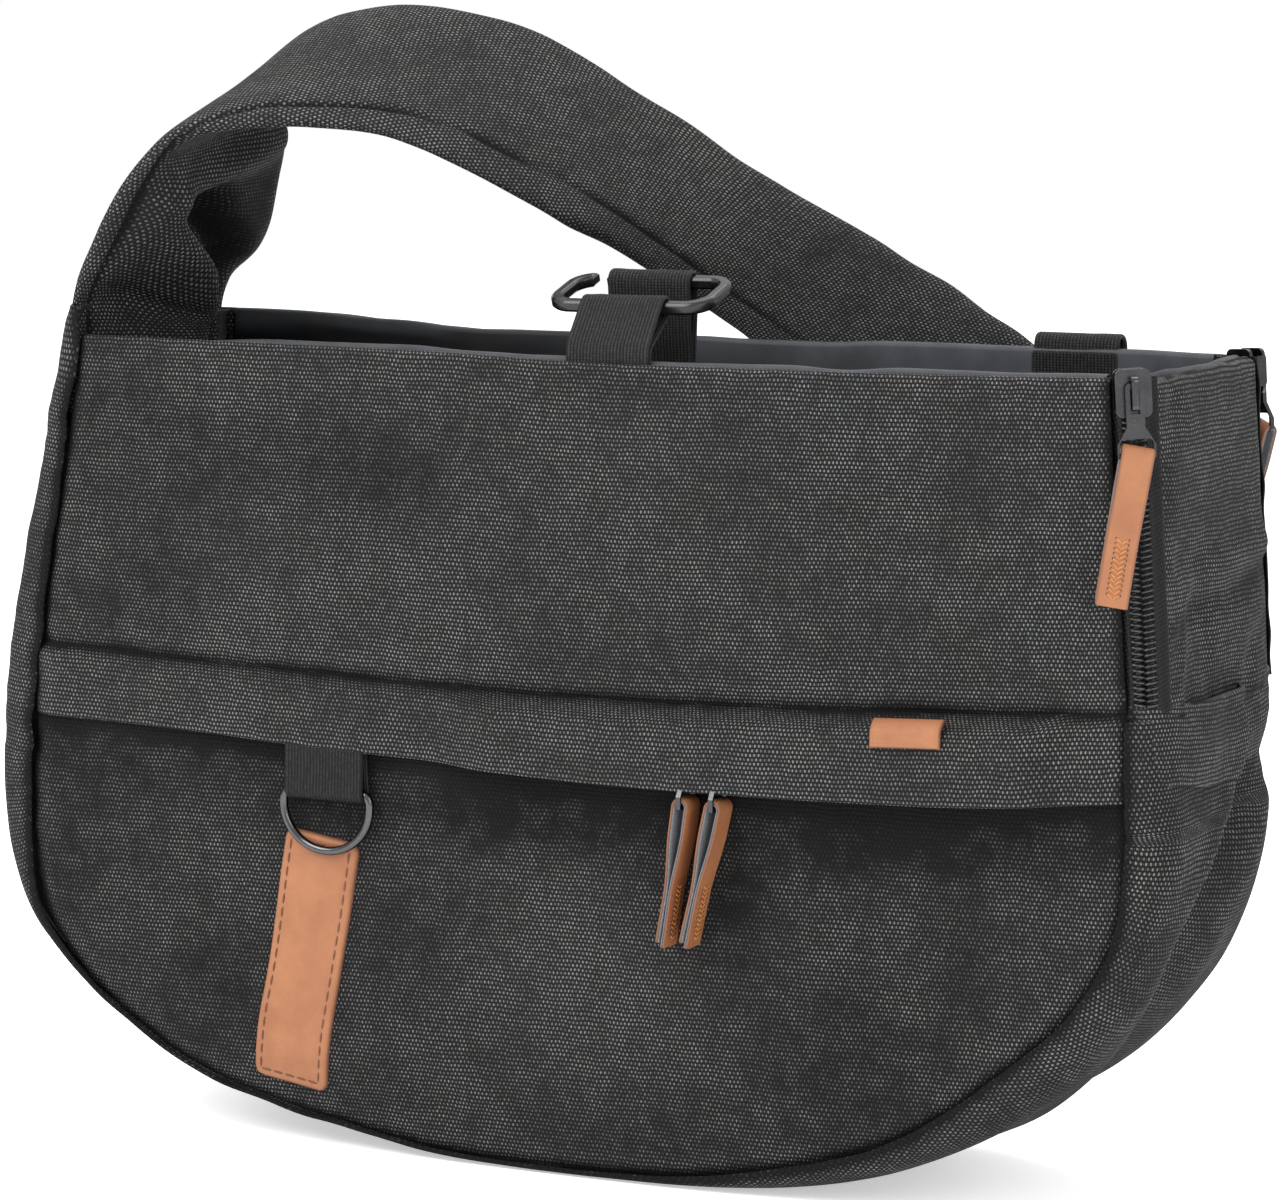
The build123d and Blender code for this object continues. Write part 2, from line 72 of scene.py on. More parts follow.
# ---------------------------------------------------------------- measurements from the frame
HEIGHT = high("back_panel")[2]
FRONT = low("front_upper_panel")[1]
BACK = high("back_panel")[1]
HALF_MID = -low("gusset")[0]
HALF_TOP = 175.0
Z_MID = 110.0
DROP = 114.0
FLAP_FOOT = high("flap_end_band")[2]
FLAP_HALF = high("side_flap")[1]
CANVAS = 1.2
WEBBING_HALF = (high("d_ring_webbing")[0] - low("d_ring_webbing")[0]) / 2
HOOK_X = (high("leash_keeper_loop")[0] + low("leash_keeper_loop")[0]) / 2
PATCH_SIZE = (24.9, 76.0)
PATCH_TILT = math.radians(-8.8)
PATCH_TOP = (-78.7, 93.0)

# The strap's front edge and back edge, from the left end over the mouth to the rear right corner
STRAP_STATIONS = [
    ((-169, -40, 212), (-169, 40, 212)),
    ((-168.5, -42, 236), (-168.5, 42, 236)),
    ((-165.8, -43.5, 248), (-165, 43.5, 249)),
    ((-159.5, -45, 262), (-155.5, 45, 262)),
    ((-147.5, -44, 281.5), (-150, 47, 287)),
    ((-135.5, -38, 295), (-148, 47, 309)),
    ((-120, -30, 299.8), (-137.5, 48, 326)),
    ((-99, -20, 300.4), (-116, 50, 333.3)),
    ((-76, -8, 296.5), (-90, 53, 333)),
    ((-55, 4, 285.5), (-61, 57, 325.2)),
    ((-34, 19, 271), (-31, 60, 308.3)),
    ((-14, 35, 256), (5, 64, 286)),
    ((4, 51, 240), (41, 66, 268)),
    ((32, 56, 221), (75, 63, 250.5)),
    ((70, 54, 196), (110, 56, 229)),
    ((120, 52, 157), (146, 53, 195)),
    ((169, 51.4, 118), (169.4, 51.4, 168)),
]
# The hook's two bars in (y, z), the loops' distance from its middle, and the leash inside the mouth
HOOK_FRONT, HOOK_REAR = np.array([-34.0, 249.5]), np.array([-14.0, 256.0])
HOOK_REACH = 10.2
LEASH_X, LEASH_FOOT = 12, (-14, 232)
LEASH_ROUTE = [
    (18, -10, 205), (45, 4, 192), (84, 22, 192), (110, 35, 204), (119, 40.4, 222), (120, 40.7, 235),
]


# ---------------------------------------------------------------- small maths
def table(*pairs):
    """A smooth curve through (key, value) pairs."""
    keys, values = np.array(pairs, float).T
    slopes = np.gradient(values, keys)

    def at(x):
        x = np.clip(np.asarray(x, float), keys[0], keys[-1])
        i = np.clip(np.searchsorted(keys, x) - 1, 0, len(keys) - 2)
        h = keys[i + 1] - keys[i]
        t = (x - keys[i]) / h
        start = (2 * t**3 - 3 * t**2 + 1) * values[i] + (t**3 - 2 * t**2 + t) * h * slopes[i]
        end = (3 * t**2 - 2 * t**3) * values[i + 1] + (t**3 - t**2) * h * slopes[i + 1]
        return start + end

    return at


def smooth(x, start, end):
    """0 before start and 1 after end, with an easy curve between."""
    t = np.clip((np.asarray(x, float) - start) / (end - start), 0, 1)
    return t * t * (3 - 2 * t)


def bump(x, middle, width):
    """A bell of height 1."""
    return np.exp(-(((np.asarray(x, float) - middle) / width) ** 2))


def mottled(x, z, areas):
    """Sum of soft areas over a panel, each (amount, (x, half width), (z, half height))."""
    return sum(amount * bump(x, *across) * bump(z, *upright) for amount, across, upright in areas)


def ripple(x, y, size, seed):
    """Smooth noise from -1 to 1 over a plane, with features about as large as size."""
    lattice = np.random.RandomState(seed).uniform(-1, 1, (97, 97))
    x, y = np.broadcast_arrays(np.asarray(x, float) / size, np.asarray(y, float) / size)
    ix, iy = np.floor(x).astype(int), np.floor(y).astype(int)
    fx, fy = smooth(x - ix, 0, 1), smooth(y - iy, 0, 1)
    corner = [[lattice[(ix + a) % 97, (iy + b) % 97] for b in (0, 1)] for a in (0, 1)]
    near = corner[0][0] * (1 - fy) + corner[0][1] * fy
    far = corner[1][0] * (1 - fy) + corner[1][1] * fy
    return near * (1 - fx) + far * fx


def unit(v):
    """Vectors along the last axis at length 1."""
    return v / np.maximum(np.linalg.norm(v, axis=-1, keepdims=True), 1e-9)


def through(points, count):
    """A smooth line through points, sampled evenly by station."""
    points = np.array(points, float)
    keys = np.arange(len(points))
    at = np.linspace(0, len(points) - 1, count)
    return np.stack([table(*zip(keys, c))(at) for c in points.T], -1)


def path_length(points):
    """Distance along a line of points, from its start."""
    steps = np.linalg.norm(np.diff(points, axis=0), axis=1)
    return np.concatenate([[0], np.cumsum(steps)])


# ---------------------------------------------------------------- meshes
def make_piece(name, verts, faces, material, face_uv=None, wear_and_shade=None):
    """A mesh object from millimetre points, with a metric UV map and, at each point, a value that holds both
    wear and painted shade.
    """
    mesh = bpy.data.meshes.new(name)
    mesh.from_pydata((np.asarray(verts, float) * MM).tolist(), [], [list(f) for f in faces])
    if face_uv is not None:
        layer = mesh.uv_layers.new(name="weave")
        layer.data.foreach_set("uv", np.asarray(face_uv, np.float32).ravel())
    attribute = mesh.attributes.new("wear_and_shade", "FLOAT", "POINT")
    values = np.zeros(len(verts), np.float32) if wear_and_shade is None else np.asarray(wear_and_shade, np.float32)
    attribute.data.foreach_set("value", values)
    mesh.polygons.foreach_set("use_smooth", [True] * len(mesh.polygons))
    mesh.materials.append(material)
    piece = bpy.data.objects.new(name, mesh)
    bpy.context.scene.collection.objects.link(piece)
    return piece


def fix_normals(piece):
    """Turns every face outwards."""
    work = bmesh.new()
    work.from_mesh(piece.data)
    bmesh.ops.recalc_face_normals(work, faces=work.faces)
    work.to_mesh(piece.data)
    work.free()
    return piece


def quads(rows, columns, start=0):
    """Corner numbers of the quads of a grid of points."""
    r, c = np.meshgrid(np.arange(rows - 1), np.arange(columns - 1), indexing="ij")
    a = (start + r * columns + c).ravel()
    return np.stack([a, a + columns, a + columns + 1, a + 1], 1)


def grid_normals(points):
    """Normals of a grid of points."""
    return unit(np.cross(np.gradient(points, axis=0), np.gradient(points, axis=1)))


def metric_uv(points):
    """Millimetre coordinates of a curved grid, measured both ways from its middle."""
    rows, columns = points.shape[:2]
    across = np.cumsum(np.linalg.norm(np.diff(points, axis=1, prepend=points[:, :1]), axis=2), axis=1)
    down = np.cumsum(np.linalg.norm(np.diff(points, axis=0, prepend=points[:1]), axis=2), axis=0)
    return np.stack([across - across[:, columns // 2, None], down - down[rows // 2]], -1)


def draped_uv(points):
    """UV of a hung panel: x across it, and the length of its middle column down it."""
    arc = path_length(points[:, points.shape[1] // 2])[:, None]
    return np.stack(np.broadcast_arrays(points[..., 0], arc), -1)


def rolled(body, depth, rise, steps, drops=()):
    """A grid with its last row rolled over by depth in y and rise in z, and then hung down by drops."""
    rows = []
    for turn in np.radians(np.linspace(15, 180, steps)):
        rows.append(body[-1] + np.array([0, depth * (1 - math.cos(turn)), rise * math.sin(turn)]))
    rows += [rows[steps - 1] - np.array([0, 0, drop]) for drop in drops]
    return np.concatenate([body, np.stack(rows)])


def cloth_piece(name, outer, thickness, material, uv=None, wear_and_shade=None, turn=1):
    """Closed cloth from a grid of points on its outer face, with a rounded rim. turn -1 flips the side."""
    rows, columns = outer.shape[:2]
    count = rows * columns
    normal = grid_normals(outer) * turn
    inner = outer - normal * thickness
    uv = metric_uv(outer) if uv is None else uv
    wear_and_shade = np.zeros((rows, columns)) if wear_and_shade is None else wear_and_shade
    index = np.arange(count).reshape(rows, columns)
    border = np.concatenate([index[0], index[1:, -1], index[-1, -2::-1], index[-2:0:-1, 0]])
    out_flat, in_flat = outer.reshape(-1, 3), inner.reshape(-1, 3)
    middle = (out_flat[border] + in_flat[border]) / 2
    tangent = np.roll(middle, -1, axis=0) - np.roll(middle, 1, axis=0)
    away = unit(np.cross(tangent, normal.reshape(-1, 3)[border]))
    inwards = outer[np.clip(border // columns, 1, rows - 2), np.clip(border % columns, 1, columns - 2)]
    away *= np.sign(((middle - inwards) * away).sum(1, keepdims=True) + 1e-12)
    verts, rings = [out_flat, in_flat], []
    side = normal.reshape(-1, 3)[border]
    for angle in (math.radians(50), math.radians(90), math.radians(130)):
        ring = middle + away * math.sin(angle) * thickness / 2 + side * math.cos(angle) * thickness / 2
        rings.append(2 * count + len(rings) * len(border) + np.arange(len(border)))
        verts.append(ring)
    loops = [border, *rings, border + count]
    faces = [quads(rows, columns), quads(rows, columns, count)[:, ::-1]]
    for a, b in zip(loops, loops[1:]):
        faces.append(np.stack([a, b, np.roll(b, -1), np.roll(a, -1)], 1))
    faces = np.concatenate(faces)
    flat_uv = uv.reshape(-1, 2)
    rim_uv = flat_uv[border]
    all_uv = np.concatenate([flat_uv, flat_uv, rim_uv, rim_uv + 0.4, rim_uv + 0.8])
    flat_wear_and_shade = wear_and_shade.reshape(-1)
    # The rounded rim is 0.12 paler, as worn; the inner face is 0.2 darker, a painted shade.
    rim_wear_and_shade = flat_wear_and_shade[border] + 0.12
    all_wear_and_shade = np.concatenate([flat_wear_and_shade, flat_wear_and_shade - 0.2, rim_wear_and_shade, rim_wear_and_shade, rim_wear_and_shade])
    piece = make_piece(name, np.concatenate(verts), faces, material, all_uv[faces], all_wear_and_shade)
    return fix_normals(piece)


def tube_piece(name, rings, material, wear_and_shade=None, uv=None):
    """Closed tube through rings of points, capped at both ends."""
    rows, columns = rings.shape[:2]
    closed = np.concatenate([rings, rings[:, :1]], 1)
    if uv is None:
        around = path_length(closed[rows // 2])
        along = path_length(closed[:, 0])
        uv = np.stack(np.meshgrid(around, along), -1)
    r, c = np.meshgrid(np.arange(rows - 1), np.arange(columns), indexing="ij")
    r, c = r.ravel(), c.ravel()
    n = (c + 1) % columns
    faces = np.stack([r * columns + c, (r + 1) * columns + c, (r + 1) * columns + n, r * columns + n], 1)
    corner_uv = np.stack([uv[r, c], uv[r + 1, c], uv[r + 1, c + 1], uv[r, c + 1]], 1)
    verts = list(rings.reshape(-1, 3))
    caps, cap_uv = [], []
    for row in (0, rows - 1):
        verts.append(rings[row].mean(0))
        hub = len(verts) - 1
        for i in range(columns):
            j = (i + 1) % columns
            caps.append([hub, row * columns + i, row * columns + j])
            cap_uv.append([uv[row, i], uv[row, i], uv[row, i + 1]])
    all_faces = [list(f) for f in faces] + caps
    face_uv = np.concatenate([corner_uv.reshape(-1, 2), np.array(cap_uv).reshape(-1, 2)])
    flat = np.zeros(len(verts))
    if wear_and_shade is not None:
        flat[: rows * columns] = wear_and_shade.reshape(-1)
    return fix_normals(make_piece(name, np.array(verts), all_faces, material, face_uv, flat))


def rod(points, radius, sides=6):
    """Points and faces of a thin capped tube along a line: (verts, faces)."""
    points = np.asarray(points, float)
    tangent = unit(np.gradient(points, axis=0))
    helper = np.where(np.abs(tangent[:, 2:3]) > 0.9, np.array([[1.0, 0, 0]]), np.array([[0, 0, 1.0]]))
    side = unit(np.cross(tangent, helper))
    up = np.cross(side, tangent)
    angles = np.linspace(0, 2 * math.pi, sides, endpoint=False)
    ring = side[:, None] * np.cos(angles)[:, None] + up[:, None] * np.sin(angles)[:, None]
    verts = (points[:, None] + ring * radius).reshape(-1, 3)
    faces = []
    for r in range(len(points) - 1):
        for c in range(sides):
            n = (c + 1) % sides
            faces.append([r * sides + c, r * sides + n, (r + 1) * sides + n, (r + 1) * sides + c])
    faces.append(list(range(sides))[::-1])
    faces.append([(len(points) - 1) * sides + c for c in range(sides)])
    return verts, faces


def joined(name, parts, material):
    """One piece from many (verts, faces) parts, as stitches or teeth."""
    verts, faces, start = [], [], 0
    for v, f in parts:
        verts.append(np.asarray(v))
        faces.extend([[i + start for i in face] for face in f])
        start += len(v)
    piece = make_piece(name, np.concatenate(verts), faces, material)
    return fix_normals(piece)


def attach(piece, body, slot, *nodes):
    """Rides a piece on a body and lets it replace CAD nodes; the slot argument is not used."""
    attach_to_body(piece, body)
    if nodes:
        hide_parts(*nodes)


# ---------------------------------------------------------------- materials
class Nodes:
    """Short names for building a material's nodes."""

    def __init__(self, name):
        self.material = bpy.data.materials.new(name)
        self.material.use_nodes = True
        self.tree = self.material.node_tree
        self.shader = self.tree.nodes["Principled BSDF"]

    def put(self, socket, value):
        if isinstance(value, bpy.types.NodeSocket):
            self.tree.links.new(value, socket)
        else:
            socket.default_value = value

    def add(self, kind, output=0, props=None, **inputs):
        node = self.tree.nodes.new(kind)
        for key, value in (props or {}).items():
            setattr(node, key, value)
        for key, value in inputs.items():
            self.put(node.inputs[int(key[1:]) if key[0] == "i" and key[1:].isdigit() else key], value)
        return node.outputs[output]

    def math(self, operation, a, b=0.0, c=0.0):
        return self.add("ShaderNodeMath", props={"operation": operation}, i0=a, i1=b, i2=c)

    def noise(self, vector, scale, detail=3.0, rough=0.55, output=0):
        return self.add("ShaderNodeTexNoise", output, Vector=vector, Scale=scale,
                        Detail=detail, Roughness=rough)

    def step(self, value, low_edge, high_edge, out_low=0.0, out_high=1.0):
        node = self.tree.nodes.new("ShaderNodeMapRange")
        node.interpolation_type = "SMOOTHSTEP"
        for key, v in zip(("Value", "From Min", "From Max", "To Min", "To Max"),
                          (value, low_edge, high_edge, out_low, out_high)):
            self.put(node.inputs[key], v)
        return node.outputs[0]

    def mix(self, factor, a, b, mode="MIX"):
        node = self.tree.nodes.new("ShaderNodeMix")
        node.data_type = "RGBA"
        node.blend_type = mode
        for number, v in ((0, factor), (6, a), (7, b)):
            self.put(node.inputs[number], v)
        return node.outputs[2]

    def uv(self, scale=(1, 1, 1), turn=0.0):
        raw = self.add("ShaderNodeUVMap", props={"uv_map": "weave"})
        return self.add("ShaderNodeMapping", Vector=raw, Scale=scale, Rotation=(0, 0, turn))

    def place(self):
        return self.add("ShaderNodeTexCoord", output=3)

    def wear_and_shade(self):
        return self.add("ShaderNodeAttribute", output=2, props={"attribute_name": "wear_and_shade"})

    def bump(self, height, distance, strength=1.0):
        return self.add("ShaderNodeBump", Height=height, Distance=distance, Strength=strength)

    def finish(self, **sockets):
        for key, value in sockets.items():
            self.put(self.shader.inputs[key.replace("_", " ")], value)
        return self.material


CANVAS_DARK = 0.0085
CANVAS_PALE = 0.155


def grey(value, warm=0.0):
    """A near-neutral linear colour."""
    return (value * (1 + warm), value, value * (1 - warm), 1)


def yarn_pattern(n, pitch_u, pitch_v, turn=0.0, stray=0.22):
    """Plain weave over the metric UV map: (crossing height, random value, map, row, column)."""
    flat = n.uv()
    drift = n.noise(flat, 0.11, 2.0, output=1)
    offset = n.add("ShaderNodeVectorMath", props={"operation": "SUBTRACT"}, i0=drift, i1=(0.5, 0.5, 0.5))
    offset = n.add("ShaderNodeVectorMath", props={"operation": "SCALE"}, i0=offset, Scale=stray * 6)
    moved = n.add("ShaderNodeVectorMath", props={"operation": "ADD"}, i0=flat, i1=offset)
    turned = n.add("ShaderNodeMapping", Vector=moved, Scale=(1 / pitch_u, 1 / pitch_v, 1),
                   Rotation=(0, 0, turn))
    parts = n.tree.nodes.new("ShaderNodeSeparateXYZ")
    n.put(parts.inputs[0], turned)
    u, v = parts.outputs[0], parts.outputs[1]
    wave = n.math("MULTIPLY", n.math("SINE", n.math("MULTIPLY", u, math.pi)),
                  n.math("SINE", n.math("MULTIPLY", v, math.pi)))
    cell = n.add("ShaderNodeCombineXYZ", i0=n.math("FLOOR", u), i1=n.math("FLOOR", v))
    chance = n.add("ShaderNodeTexWhiteNoise", props={"noise_dimensions": "2D"}, Vector=cell)
    row = n.math("ABSOLUTE", n.math("SINE", n.math("MULTIPLY", v, math.pi)))
    column = n.math("ABSOLUTE", n.math("SINE", n.math("MULTIPLY", u, math.pi)))
    return wave, chance, flat, row, column


def canvas_material():
    """Heavy washed canvas: charcoal warp under short pale flecks of weft, mottled, worn at its edges, and
    darkened by painted shade where the wear-and-shade value is low.
    """
    n = Nodes("washed_canvas")
    wave, chance, flat, row, _ = yarn_pattern(n, 0.62, 1.24)
    weft = n.step(n.math("MULTIPLY", wave, row), 0.06, 0.66)
    warp = n.step(wave, -0.25, -0.9)
    fibre = n.noise(n.uv((0.8, 2.4, 1)), 1.6, 4.0, 0.7)
    blotch = n.noise(flat, 0.022, 3.0, 0.6)
    speckle = n.noise(flat, 0.13, 3.0, 0.6)
    fleck = n.math("MULTIPLY", weft, n.step(chance, 0.0, 1.0, 0.5, 1.15))
    fleck = n.math("MULTIPLY", fleck, n.step(fibre, 0.25, 0.75, 0.55, 1.25))
    under = n.math("MULTIPLY", warp, n.step(fibre, 0.3, 0.8, 0.03, 0.2))
    thread = n.math("ADD", fleck, under)
    cover = n.math("ADD", n.step(blotch, 0.3, 0.72, 0.56, 1.2), n.step(speckle, 0.3, 0.7, -0.2, 0.24))
    # Painted shade: where the wear-and-shade value is low, the pale flecks thin out and the base colour
    # darkens.
    worn_and_shaded = n.math("ADD", cover, n.math("MULTIPLY", n.wear_and_shade(), 1.1))
    worn_and_shaded = n.math("MAXIMUM", worn_and_shaded, 0.05)
    amount = n.math("MINIMUM", n.math("MULTIPLY", thread, worn_and_shaded), 1.0)
    base = n.mix(n.step(n.wear_and_shade(), -0.8, 0.5), grey(0.0035), grey(CANVAS_DARK * 1.25, 0.01))
    base = n.mix(n.step(blotch, 0.3, 0.7, 0.0, 0.5), base, grey(CANVAS_DARK * 0.7))
    tint = n.step(n.noise(flat, 0.06, 2.0), 0.35, 0.65)
    colour = n.mix(amount, base, n.mix(tint, grey(CANVAS_PALE, 0.04), grey(CANVAS_PALE, -0.025)))
    height = n.math("ADD", n.math("ABSOLUTE", n.math("MULTIPLY", wave, row)), n.math("MULTIPLY", fibre, 0.4))
    normal = n.bump(height, 0.00025, 0.7)
    return n.finish(Base_Color=colour, Roughness=n.step(fibre, 0.2, 0.8, 0.85, 0.98), Normal=normal,
                    Specular_IOR_Level=0.12)


def lining_material():
    """Smooth blue-grey nylon with a fine grid and soft creases, turned near black by painted shade where the
    wear-and-shade value is below zero.
    """
    n = Nodes("nylon_lining")
    wave, chance, flat, _, _ = yarn_pattern(n, 0.42, 0.42, stray=0.05)
    cloud = n.noise(flat, 0.07, 3.0)
    crease = n.noise(n.uv((0.25, 0.06, 1)), 0.8, 3.0)
    colour = n.mix(n.step(cloud, 0.3, 0.7), (0.022, 0.024, 0.027, 1), (0.040, 0.043, 0.048, 1))
    colour = n.mix(n.step(n.math("ABSOLUTE", wave), 0.0, 0.7, 0.0, 0.35), colour, (0.075, 0.080, 0.088, 1))
    # Painted shade inside the bag: near black where the wear-and-shade value is low.
    colour = n.mix(n.step(n.wear_and_shade(), 0.0, -1.0), colour, (0.0015, 0.0015, 0.0018, 1))
    height = n.math("ADD", n.math("MULTIPLY", wave, 0.12), crease)
    return n.finish(Base_Color=colour, Roughness=n.step(chance, 0.0, 1.0, 0.46, 0.6),
                    Normal=n.bump(height, 0.0005, 0.5), Specular_IOR_Level=0.2)


def leather_material(name, tone, dark):
    """Vegetable-tanned leather: fine pebble grain, cloudy colour, darker rubbed edges."""
    n = Nodes(name)
    at = n.place()
    pebble = n.add("ShaderNodeTexVoronoi", props={"feature": "DISTANCE_TO_EDGE"}, Vector=at, Scale=1500.0)
    pore = n.noise(at, 2600.0, 3.0, 0.6)
    cloud = n.noise(at, 90.0, 4.0, 0.6)
    crease = n.step(pebble, 0.0, 0.12)
    colour = n.mix(n.step(cloud, 0.25, 0.75), dark, tone)
    colour = n.mix(n.math("MULTIPLY", n.math("SUBTRACT", 1.0, crease), 0.22), colour, dark)
    edge = n.step(n.wear_and_shade(), 0.0, 1.0)
    colour = n.mix(edge, colour, tuple(c * 0.45 for c in dark[:3]) + (1,))
    height = n.math("ADD", n.math("MULTIPLY", crease, 0.6), n.math("MULTIPLY", pore, 0.5))
    return n.finish(Base_Color=colour, Roughness=n.step(pore, 0.2, 0.8, 0.5, 0.7),
                    Normal=n.bump(height, 0.00008, 0.6))


def suede_material():
    """Grey flesh side of the tab leather, with loose fibres."""
    n = Nodes("grey_suede")
    at = n.place()
    fuzz = n.noise(at, 1900.0, 6.0, 0.8)
    cloud = n.noise(at, 240.0, 3.0)
    colour = n.mix(n.step(fuzz, 0.3, 0.7), (0.05, 0.055, 0.063, 1), (0.17, 0.18, 0.20, 1))
    colour = n.mix(n.step(cloud, 0.3, 0.7, 0.0, 0.35), colour, (0.10, 0.105, 0.115, 1))
    return n.finish(Base_Color=colour, Roughness=n.step(fuzz, 0.2, 0.8, 0.85, 1.0),
                    Normal=n.bump(fuzz, 0.0003, 0.9), Sheen_Weight=0.15)


def thread_material(name, colour):
    """Twisted sewing thread."""
    n = Nodes(name)
    twist = n.add("ShaderNodeTexWave", props={"bands_direction": "DIAGONAL"}, Vector=n.place(),
                  Scale=900.0, Distortion=1.5)
    shade = tuple(c * 0.45 for c in colour[:3]) + (1,)
    return n.finish(Base_Color=n.mix(twist, shade, colour), Roughness=n.step(twist, 0.0, 1.0, 0.55, 0.75),
                    Normal=n.bump(twist, 0.0001, 0.6))


def webbing_material():
    """Black polyester webbing: raised cords along its length, tied down by fine cross threads; the cords'
    paler tops are a painted sheen.
    """
    n = Nodes("black_webbing")
    _, chance, flat, row, column = yarn_pattern(n, 1.05, 0.8, stray=0.05)
    rib = n.math("MULTIPLY", column, n.step(row, 0.0, 1.0, 0.68, 1.0))
    fuzz = n.noise(flat, 4.0, 4.0, 0.7)
    # Paler cord tops: a painted sheen. Painted shade from the wear-and-shade value darkens it further.
    light = n.math("MULTIPLY", n.step(rib, 0.25, 0.9), n.step(chance, 0.0, 1.0, 0.5, 1.0))
    light = n.math("MULTIPLY", light, n.step(fuzz, 0.25, 0.8, 0.5, 1.1))
    light = n.math("MAXIMUM", n.math("ADD", light, n.math("MULTIPLY", n.wear_and_shade(), 0.5)), 0.0)
    colour = n.mix(light, grey(0.0025), grey(0.029, 0.01))
    height = n.math("ADD", rib, n.math("MULTIPLY", fuzz, 0.3))
    return n.finish(Base_Color=colour, Roughness=n.step(fuzz, 0.2, 0.8, 0.55, 0.75),
                    Normal=n.bump(height, 0.0004, 0.9), Specular_IOR_Level=0.2)


def tape_material():
    """Black zip tape: fine satin herringbone, whose paler threads are a painted satin sheen."""
    n = Nodes("zip_tape")
    wave, chance, flat, _, _ = yarn_pattern(n, 0.5, 0.8, turn=0.5, stray=0.04)
    soft = n.noise(flat, 0.5, 3.0)
    # Paler herringbone threads: a painted sheen.
    light = n.math("MULTIPLY", n.step(wave, -0.2, 0.9), n.step(soft, 0.2, 0.8, 0.4, 1.0))
    light = n.math("MAXIMUM", n.math("ADD", light, n.math("MULTIPLY", n.wear_and_shade(), 0.6)), 0.0)
    colour = n.mix(light, grey(0.0015), grey(0.016))
    return n.finish(Base_Color=colour, Roughness=n.step(chance, 0.0, 1.0, 0.38, 0.5),
                    Normal=n.bump(wave, 0.0001, 0.5), Specular_IOR_Level=0.15)


def coil_material():
    """Black nylon zip coil, slightly polished by the slider."""
    n = Nodes("zip_coil")
    rub = n.noise(n.place(), 700.0, 3.0)
    colour = n.mix(n.step(rub, 0.35, 0.75), grey(0.006), grey(0.03))
    return n.finish(Base_Color=colour, Roughness=n.step(rub, 0.3, 0.8, 0.24, 0.4),
                    Normal=n.bump(rub, 0.00004, 0.3), Specular_IOR_Level=0.5)


def metal_material(name, colour, rough, bare):
    """Plated metal with faint scratches and cloudy gloss."""
    n = Nodes(name)
    at = n.place()
    stretched = n.add("ShaderNodeMapping", Vector=at, Scale=(1, 1, 6))
    scratch = n.noise(stretched, 900.0, 5.0, 0.75)
    cloud = n.noise(at, 160.0, 3.0)
    tone = n.mix(n.step(scratch, 0.55, 0.8), colour, bare)
    return n.finish(Base_Color=tone, Roughness=n.step(cloud, 0.25, 0.75, rough * 0.75, rough * 1.3),
                    Normal=n.bump(scratch, 0.00002, 0.35), Metallic=1.0)


def enamel_material():
    """Black enamelled hook, glossy where it is rubbed."""
    n = Nodes("hook_enamel")
    at = n.place()
    orange_peel = n.noise(at, 1100.0, 3.0)
    rub = n.noise(at, 200.0, 4.0)
    colour = n.mix(n.step(rub, 0.4, 0.75), grey(0.004), grey(0.012))
    return n.finish(Base_Color=colour, Roughness=n.step(rub, 0.3, 0.8, 0.25, 0.42),
                    Normal=n.bump(orange_peel, 0.00003, 0.3),
                    Specular_IOR_Level=0.3, Coat_Weight=0.25, Coat_Roughness=0.12)


def board_material():
    """Grey fibreboard."""
    n = Nodes("fibreboard")
    at = n.place()
    fibre = n.noise(at, 700.0, 6.0, 0.8)
    colour = n.mix(n.step(fibre, 0.3, 0.7), grey(0.10), grey(0.20, 0.02))
    return n.finish(Base_Color=colour, Roughness=n.step(fibre, 0.2, 0.8, 0.75, 0.95),
                    Normal=n.bump(fibre, 0.0002, 0.5))


CANVAS_CLOTH = canvas_material()
LINING_CLOTH = lining_material()
TAN = leather_material("tan_leather", (0.29, 0.113, 0.044, 1), (0.23, 0.082, 0.030, 1))
SUEDE = suede_material()
DARK_THREAD = thread_material("dark_thread", (0.14, 0.045, 0.018, 1))
TAB_THREAD = thread_material("tab_thread", (0.62, 0.24, 0.06, 1))
# Dark brown discs in the stitch holes: painted shade.
HOLE_SHADE = thread_material("stitch_hole_shade", (0.05, 0.018, 0.008, 1))
PALE_THREAD = thread_material("pale_thread", (0.10, 0.10, 0.098, 1))
WEBBING_CLOTH = webbing_material()
TAPE_CLOTH = tape_material()
COIL = coil_material()
ZIP_METAL = metal_material("zip_metal", (0.055, 0.055, 0.058, 1), 0.24, (0.20, 0.195, 0.19, 1))
RING_METAL = metal_material("ring_metal", (0.075, 0.075, 0.078, 1), 0.2, (0.22, 0.21, 0.20, 1))
HOOK_ENAMEL = enamel_material()
BOARD = board_material()


# ---------------------------------------------------------------- cloth simulation
FIELD_HALF = 190


